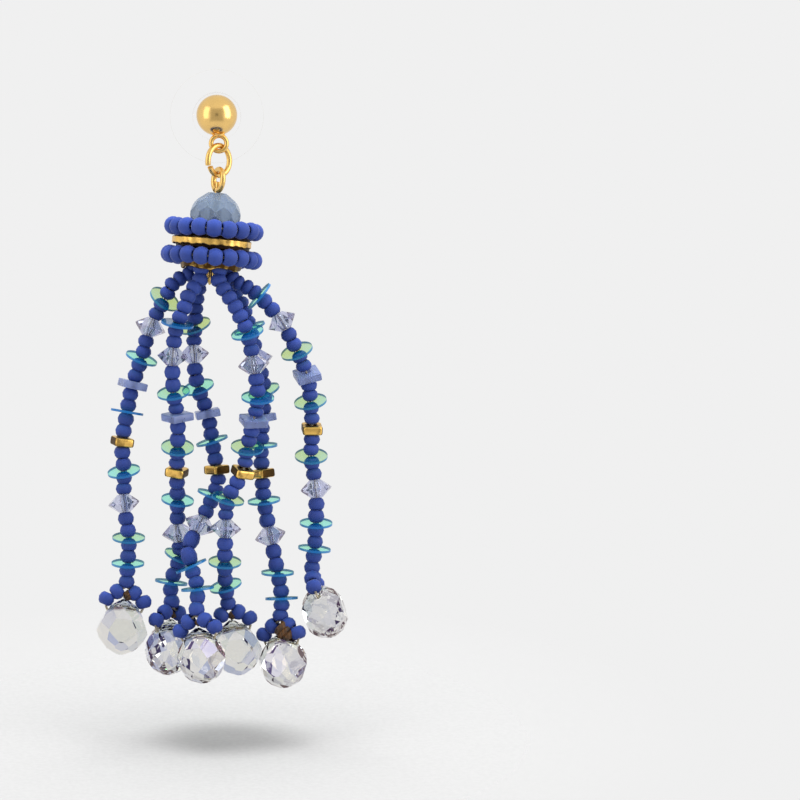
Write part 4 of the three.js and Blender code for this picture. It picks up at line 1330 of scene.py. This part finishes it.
class EARRING_OT_crystals(bpy.types.Operator):
    """Faceted bicone crystals, two on each strand"""
    bl_idname = "earring.crystals"
    bl_label = "Bicone crystals"

    SIDES = 8
    SLANT = 47.6
    GIRDLE_SLANT = 36

    def bicone(self, pattern):
        """Long facets above and below, with small ones between them at the girdle, and flat ends."""
        flat = BICONE["r"] * math.cos(math.radians(self.SLANT)) * 0.955
        between = BICONE["r"] * 0.8
        gem = cut_gem(8, [
            (self.SIDES, self.SLANT, flat, 0), (self.SIDES, -self.SLANT, flat, 0),
            (self.SIDES, self.GIRDLE_SLANT, between, 22.5), (self.SIDES, -self.GIRDLE_SLANT, between, 22.5),
            (1, 90, BICONE["half"], 0), (1, -90, BICONE["half"], 0)])
        return drilled(coat_and_reflection_facets(gem, pattern), 0.36, 8, Matrix.Identity(4))

    def execute(self, context):
        for number, plan in enumerate(STRAND_PLANS, 1):
            names = ["upper_bicone", "lower_bicone"]
            for kind, pose, _ in plan["others"]:
                if kind == "bicone":
                    name = names.pop(0)
                    # Each is turned its own way about its thread.
                    gem = placed(self.bicone(number), pose @ turn_z(number * 13 + len(names) * 17))
                    plan["with"].append(piece(
                        f"{name}_crystal_{number}", gem, "coated_bicone_crystal", "tassel",
                        [f"{name}_{number}"], smooth=0))
        return {"FINISHED"}


class EARRING_OT_squares(bpy.types.Operator):
    """Square beads of glass and of gold plate, one of each on a strand"""
    bl_idname = "earring.squares"
    bl_label = "Square beads"

    # Steps round each corner, and along each side between corners.
    STEPS = 6
    # The gold squares of two strands are bright on the left only: their edge faces that look further right
    # than this get painted shade as well.
    SHADED_RIGHT = {3: 0.3, 5: 0.3}

    def plate(self, facts, hole_r, bevel):
        """A square plate with round corners and a round hole, as one closed skin."""
        half_side, corner = facts["side"] / 2, facts["corner"]
        inner = half_side - corner
        turns = [math.radians(90 * k / self.STEPS) for k in range(self.STEPS + 1)]
        one_side = [(inner + corner * math.cos(a), inner + corner * math.sin(a)) for a in turns]
        one_side += [(inner * (1 - 2 * k / self.STEPS), half_side) for k in range(1, self.STEPS)]
        outline = [
            (x * math.cos(turn) - y * math.sin(turn), x * math.sin(turn) + y * math.cos(turn))
            for turn in around(4) for x, y in one_side]
        half, rings = facts["half"], []
        profile = [(0.0, -half + bevel), (bevel * 0.3, -half + bevel * 0.3), (bevel, -half), ("mid", -half),
                   ("hole", -half), ("hole", half), ("mid", half), (bevel, half),
                   (bevel * 0.3, half - bevel * 0.3), (0.0, half - bevel)]
        for inset, z in profile:
            ring = []
            for x, y in outline:
                r = math.hypot(x, y)
                if inset in ("hole", "mid"):
                    share = hole_r / r if inset == "hole" else (hole_r + 0.25) / r
                else:
                    share = 1 - inset / r
                ring.append((x * share, y * share, z))
            rings.append(ring)
        return skin(bmesh.new(), rings, closed_path=True)

    def paint_shade_on_sides(self, bm, limit):
        """Marks the upright edge faces that get painted shade: those turned away from the front, or to the
        right by more than limit."""
        bmesh.ops.recalc_face_normals(bm, faces=bm.faces)
        mark = bm.faces.layers.float.new("dark_side")
        for face in bm.faces:
            away = face.normal.y > -0.6 or face.normal.x > limit
            face[mark] = 0.93 if away and abs(face.normal.z) < 0.7 else 0.0

    def execute(self, context):
        for number, plan in enumerate(STRAND_PLANS, 1):
            for kind, pose, _ in plan["others"]:
                if kind == "glass":
                    bm = placed(self.plate(GLASS_SQUARE, 0.5, 0.1), pose)
                    plan["with"].append(piece(
                        f"glass_tile_{number}", bm, "tumbled_glass", "tassel", [f"glass_square_{number}"]))
                elif kind == "gold":
                    bm = placed(self.plate(GOLD_SQUARE, 0.62, 0.24), pose)
                    self.paint_shade_on_sides(bm, self.SHADED_RIGHT.get(number, NEVER))
                    plan["with"].append(piece(
                        f"gold_tile_{number}", bm, "satin_gold_plate", "tassel",
                        [f"gold_square_{number}"], smooth=50))
        return {"FINISHED"}


class EARRING_OT_drops(bpy.types.Operator):
    """Faceted crystal drops and the waxed knots above them"""
    bl_idname = "earring.drops"
    bl_label = "Drops"

    # From a drop's top to the middle that its facets are cut about.
    CENTRE_DOWN = 4.0
    KNOT_LEAN = 32
    # Two of the drops carry less of the slate-blue tint, coat and painted reflection alike.
    LIGHT_COAT_AND_REFLECTION = {5: 0.4, 6: 0.25}
    # Facets that face front or back by more than this stay clear.
    WINDOWS = 0.86

    def drop(self, pattern):
        r = DROP["r"]
        gem = cut_gem(16, [
            (2, 0, r * 0.84, -90), (2, -10, r * 0.93, -30), (2, -10, r * 0.93, 30),
            (8, 22, r * 0.966, -90), (8, 38, r * 1.04, -67.5), (6, 55, r * 1.128, -90),
            (8, -22, r * 0.946, -67.5), (8, -42, r * 0.953, -90), (6, -64, r * 0.96, -60),
            (1, -90, DROP["height"] - self.CENTRE_DOWN, 0), (1, 90, self.CENTRE_DOWN - 0.03, 0)])
        coat_and_reflection_facets(gem, pattern, self.WINDOWS, self.LIGHT_COAT_AND_REFLECTION.get(pattern, 1.0))
        placed(gem, stood(z=-self.CENTRE_DOWN))
        across = stood(z=-DROP["bore"]) @ turn_y(90)
        return drilled(gem, DROP["bore_r"], 8, across)

    def knot(self, size):
        """A lump of thread: turns laid over each other round a leaning axis."""
        turns, steps = 3, 22
        points = []
        for i in range(turns * steps + 1):
            a = 2 * math.pi * i / steps
            share = i / (turns * steps)
            wide = size * (0.52 + 0.2 * math.sin(math.pi * share))
            points.append((wide * math.cos(a), wide * 0.8 * math.sin(a), size * (2.0 * share - 1.0)))
        return tube(bmesh.new(), points, size * 0.42, 8)

    def execute(self, context):
        for number, (plan, facts) in enumerate(zip(STRAND_PLANS, STRANDS), 1):
            bm = placed(self.drop(number), plan["hang"] @ stood(z=-KNOT_TO_DROP))
            plan["with"].append(piece(
                f"crystal_drop_{number}", bm, "coated_crystal", "tassel", [f"drop_{number}"], smooth=0))
            size = facts["knot"]
            # It sits in front of the loop, a little to the right, whichever way the drop is turned.
            below = stood(0.5 * size, -0.7 * size, -0.55 - 0.95 * size) @ turn_y(-self.KNOT_LEAN)
            bm = placed(self.knot(size), plan["hang"] @ turn_z(-facts["turn"]) @ below)
            plan["with"].append(piece(f"waxed_knot_{number}", bm, "waxed_knot", "tassel"))
        return {"FINISHED"}


class EARRING_OT_declare(bpy.types.Operator):
    """Takes no step: the threads, limp free cords, and what hangs on them are left as built."""
    bl_idname = "earring.declare_threads"
    bl_label = "Declare threads"

    def execute(self, context):
        return {"FINISHED"}


OPERATORS = [
    EARRING_OT_stage, EARRING_OT_threads, EARRING_OT_stud, EARRING_OT_clutch, EARRING_OT_links,
    EARRING_OT_head, EARRING_OT_seed_beads, EARRING_OT_sequins, EARRING_OT_crystals, EARRING_OT_squares,
    EARRING_OT_drops, EARRING_OT_declare]


class EARRING_PT_panel(bpy.types.Panel):
    bl_label = "Tassel earring"
    bl_idname = "EARRING_PT_panel"
    bl_space_type = "VIEW_3D"
    bl_region_type = "UI"
    bl_category = "Earring"

    def draw(self, context):
        for group in (context.scene.earring_sizes, context.scene.earring_colours):
            box = self.layout.box()
            for name in group.__annotations__:
                box.prop(group, name)
        for operator in OPERATORS:
            self.layout.operator(operator.bl_idname)


CLASSES = [BeadSizes, Colours, *OPERATORS, EARRING_PT_panel]


def register():
    for made in CLASSES:
        bpy.utils.register_class(made)
    bpy.types.Scene.earring_sizes = PointerProperty(type=BeadSizes)
    bpy.types.Scene.earring_colours = PointerProperty(type=Colours)


def unregister():
    del bpy.types.Scene.earring_colours
    del bpy.types.Scene.earring_sizes
    for made in reversed(CLASSES):
        bpy.utils.unregister_class(made)


def main():
    register()
    for operator in OPERATORS:
        group, name = operator.bl_idname.split(".")
        if getattr(getattr(bpy.ops, group), name)() != {"FINISHED"}:
            raise RuntimeError(f"{operator.bl_label} did not finish")
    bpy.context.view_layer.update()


if __name__ == "__main__":
    main()
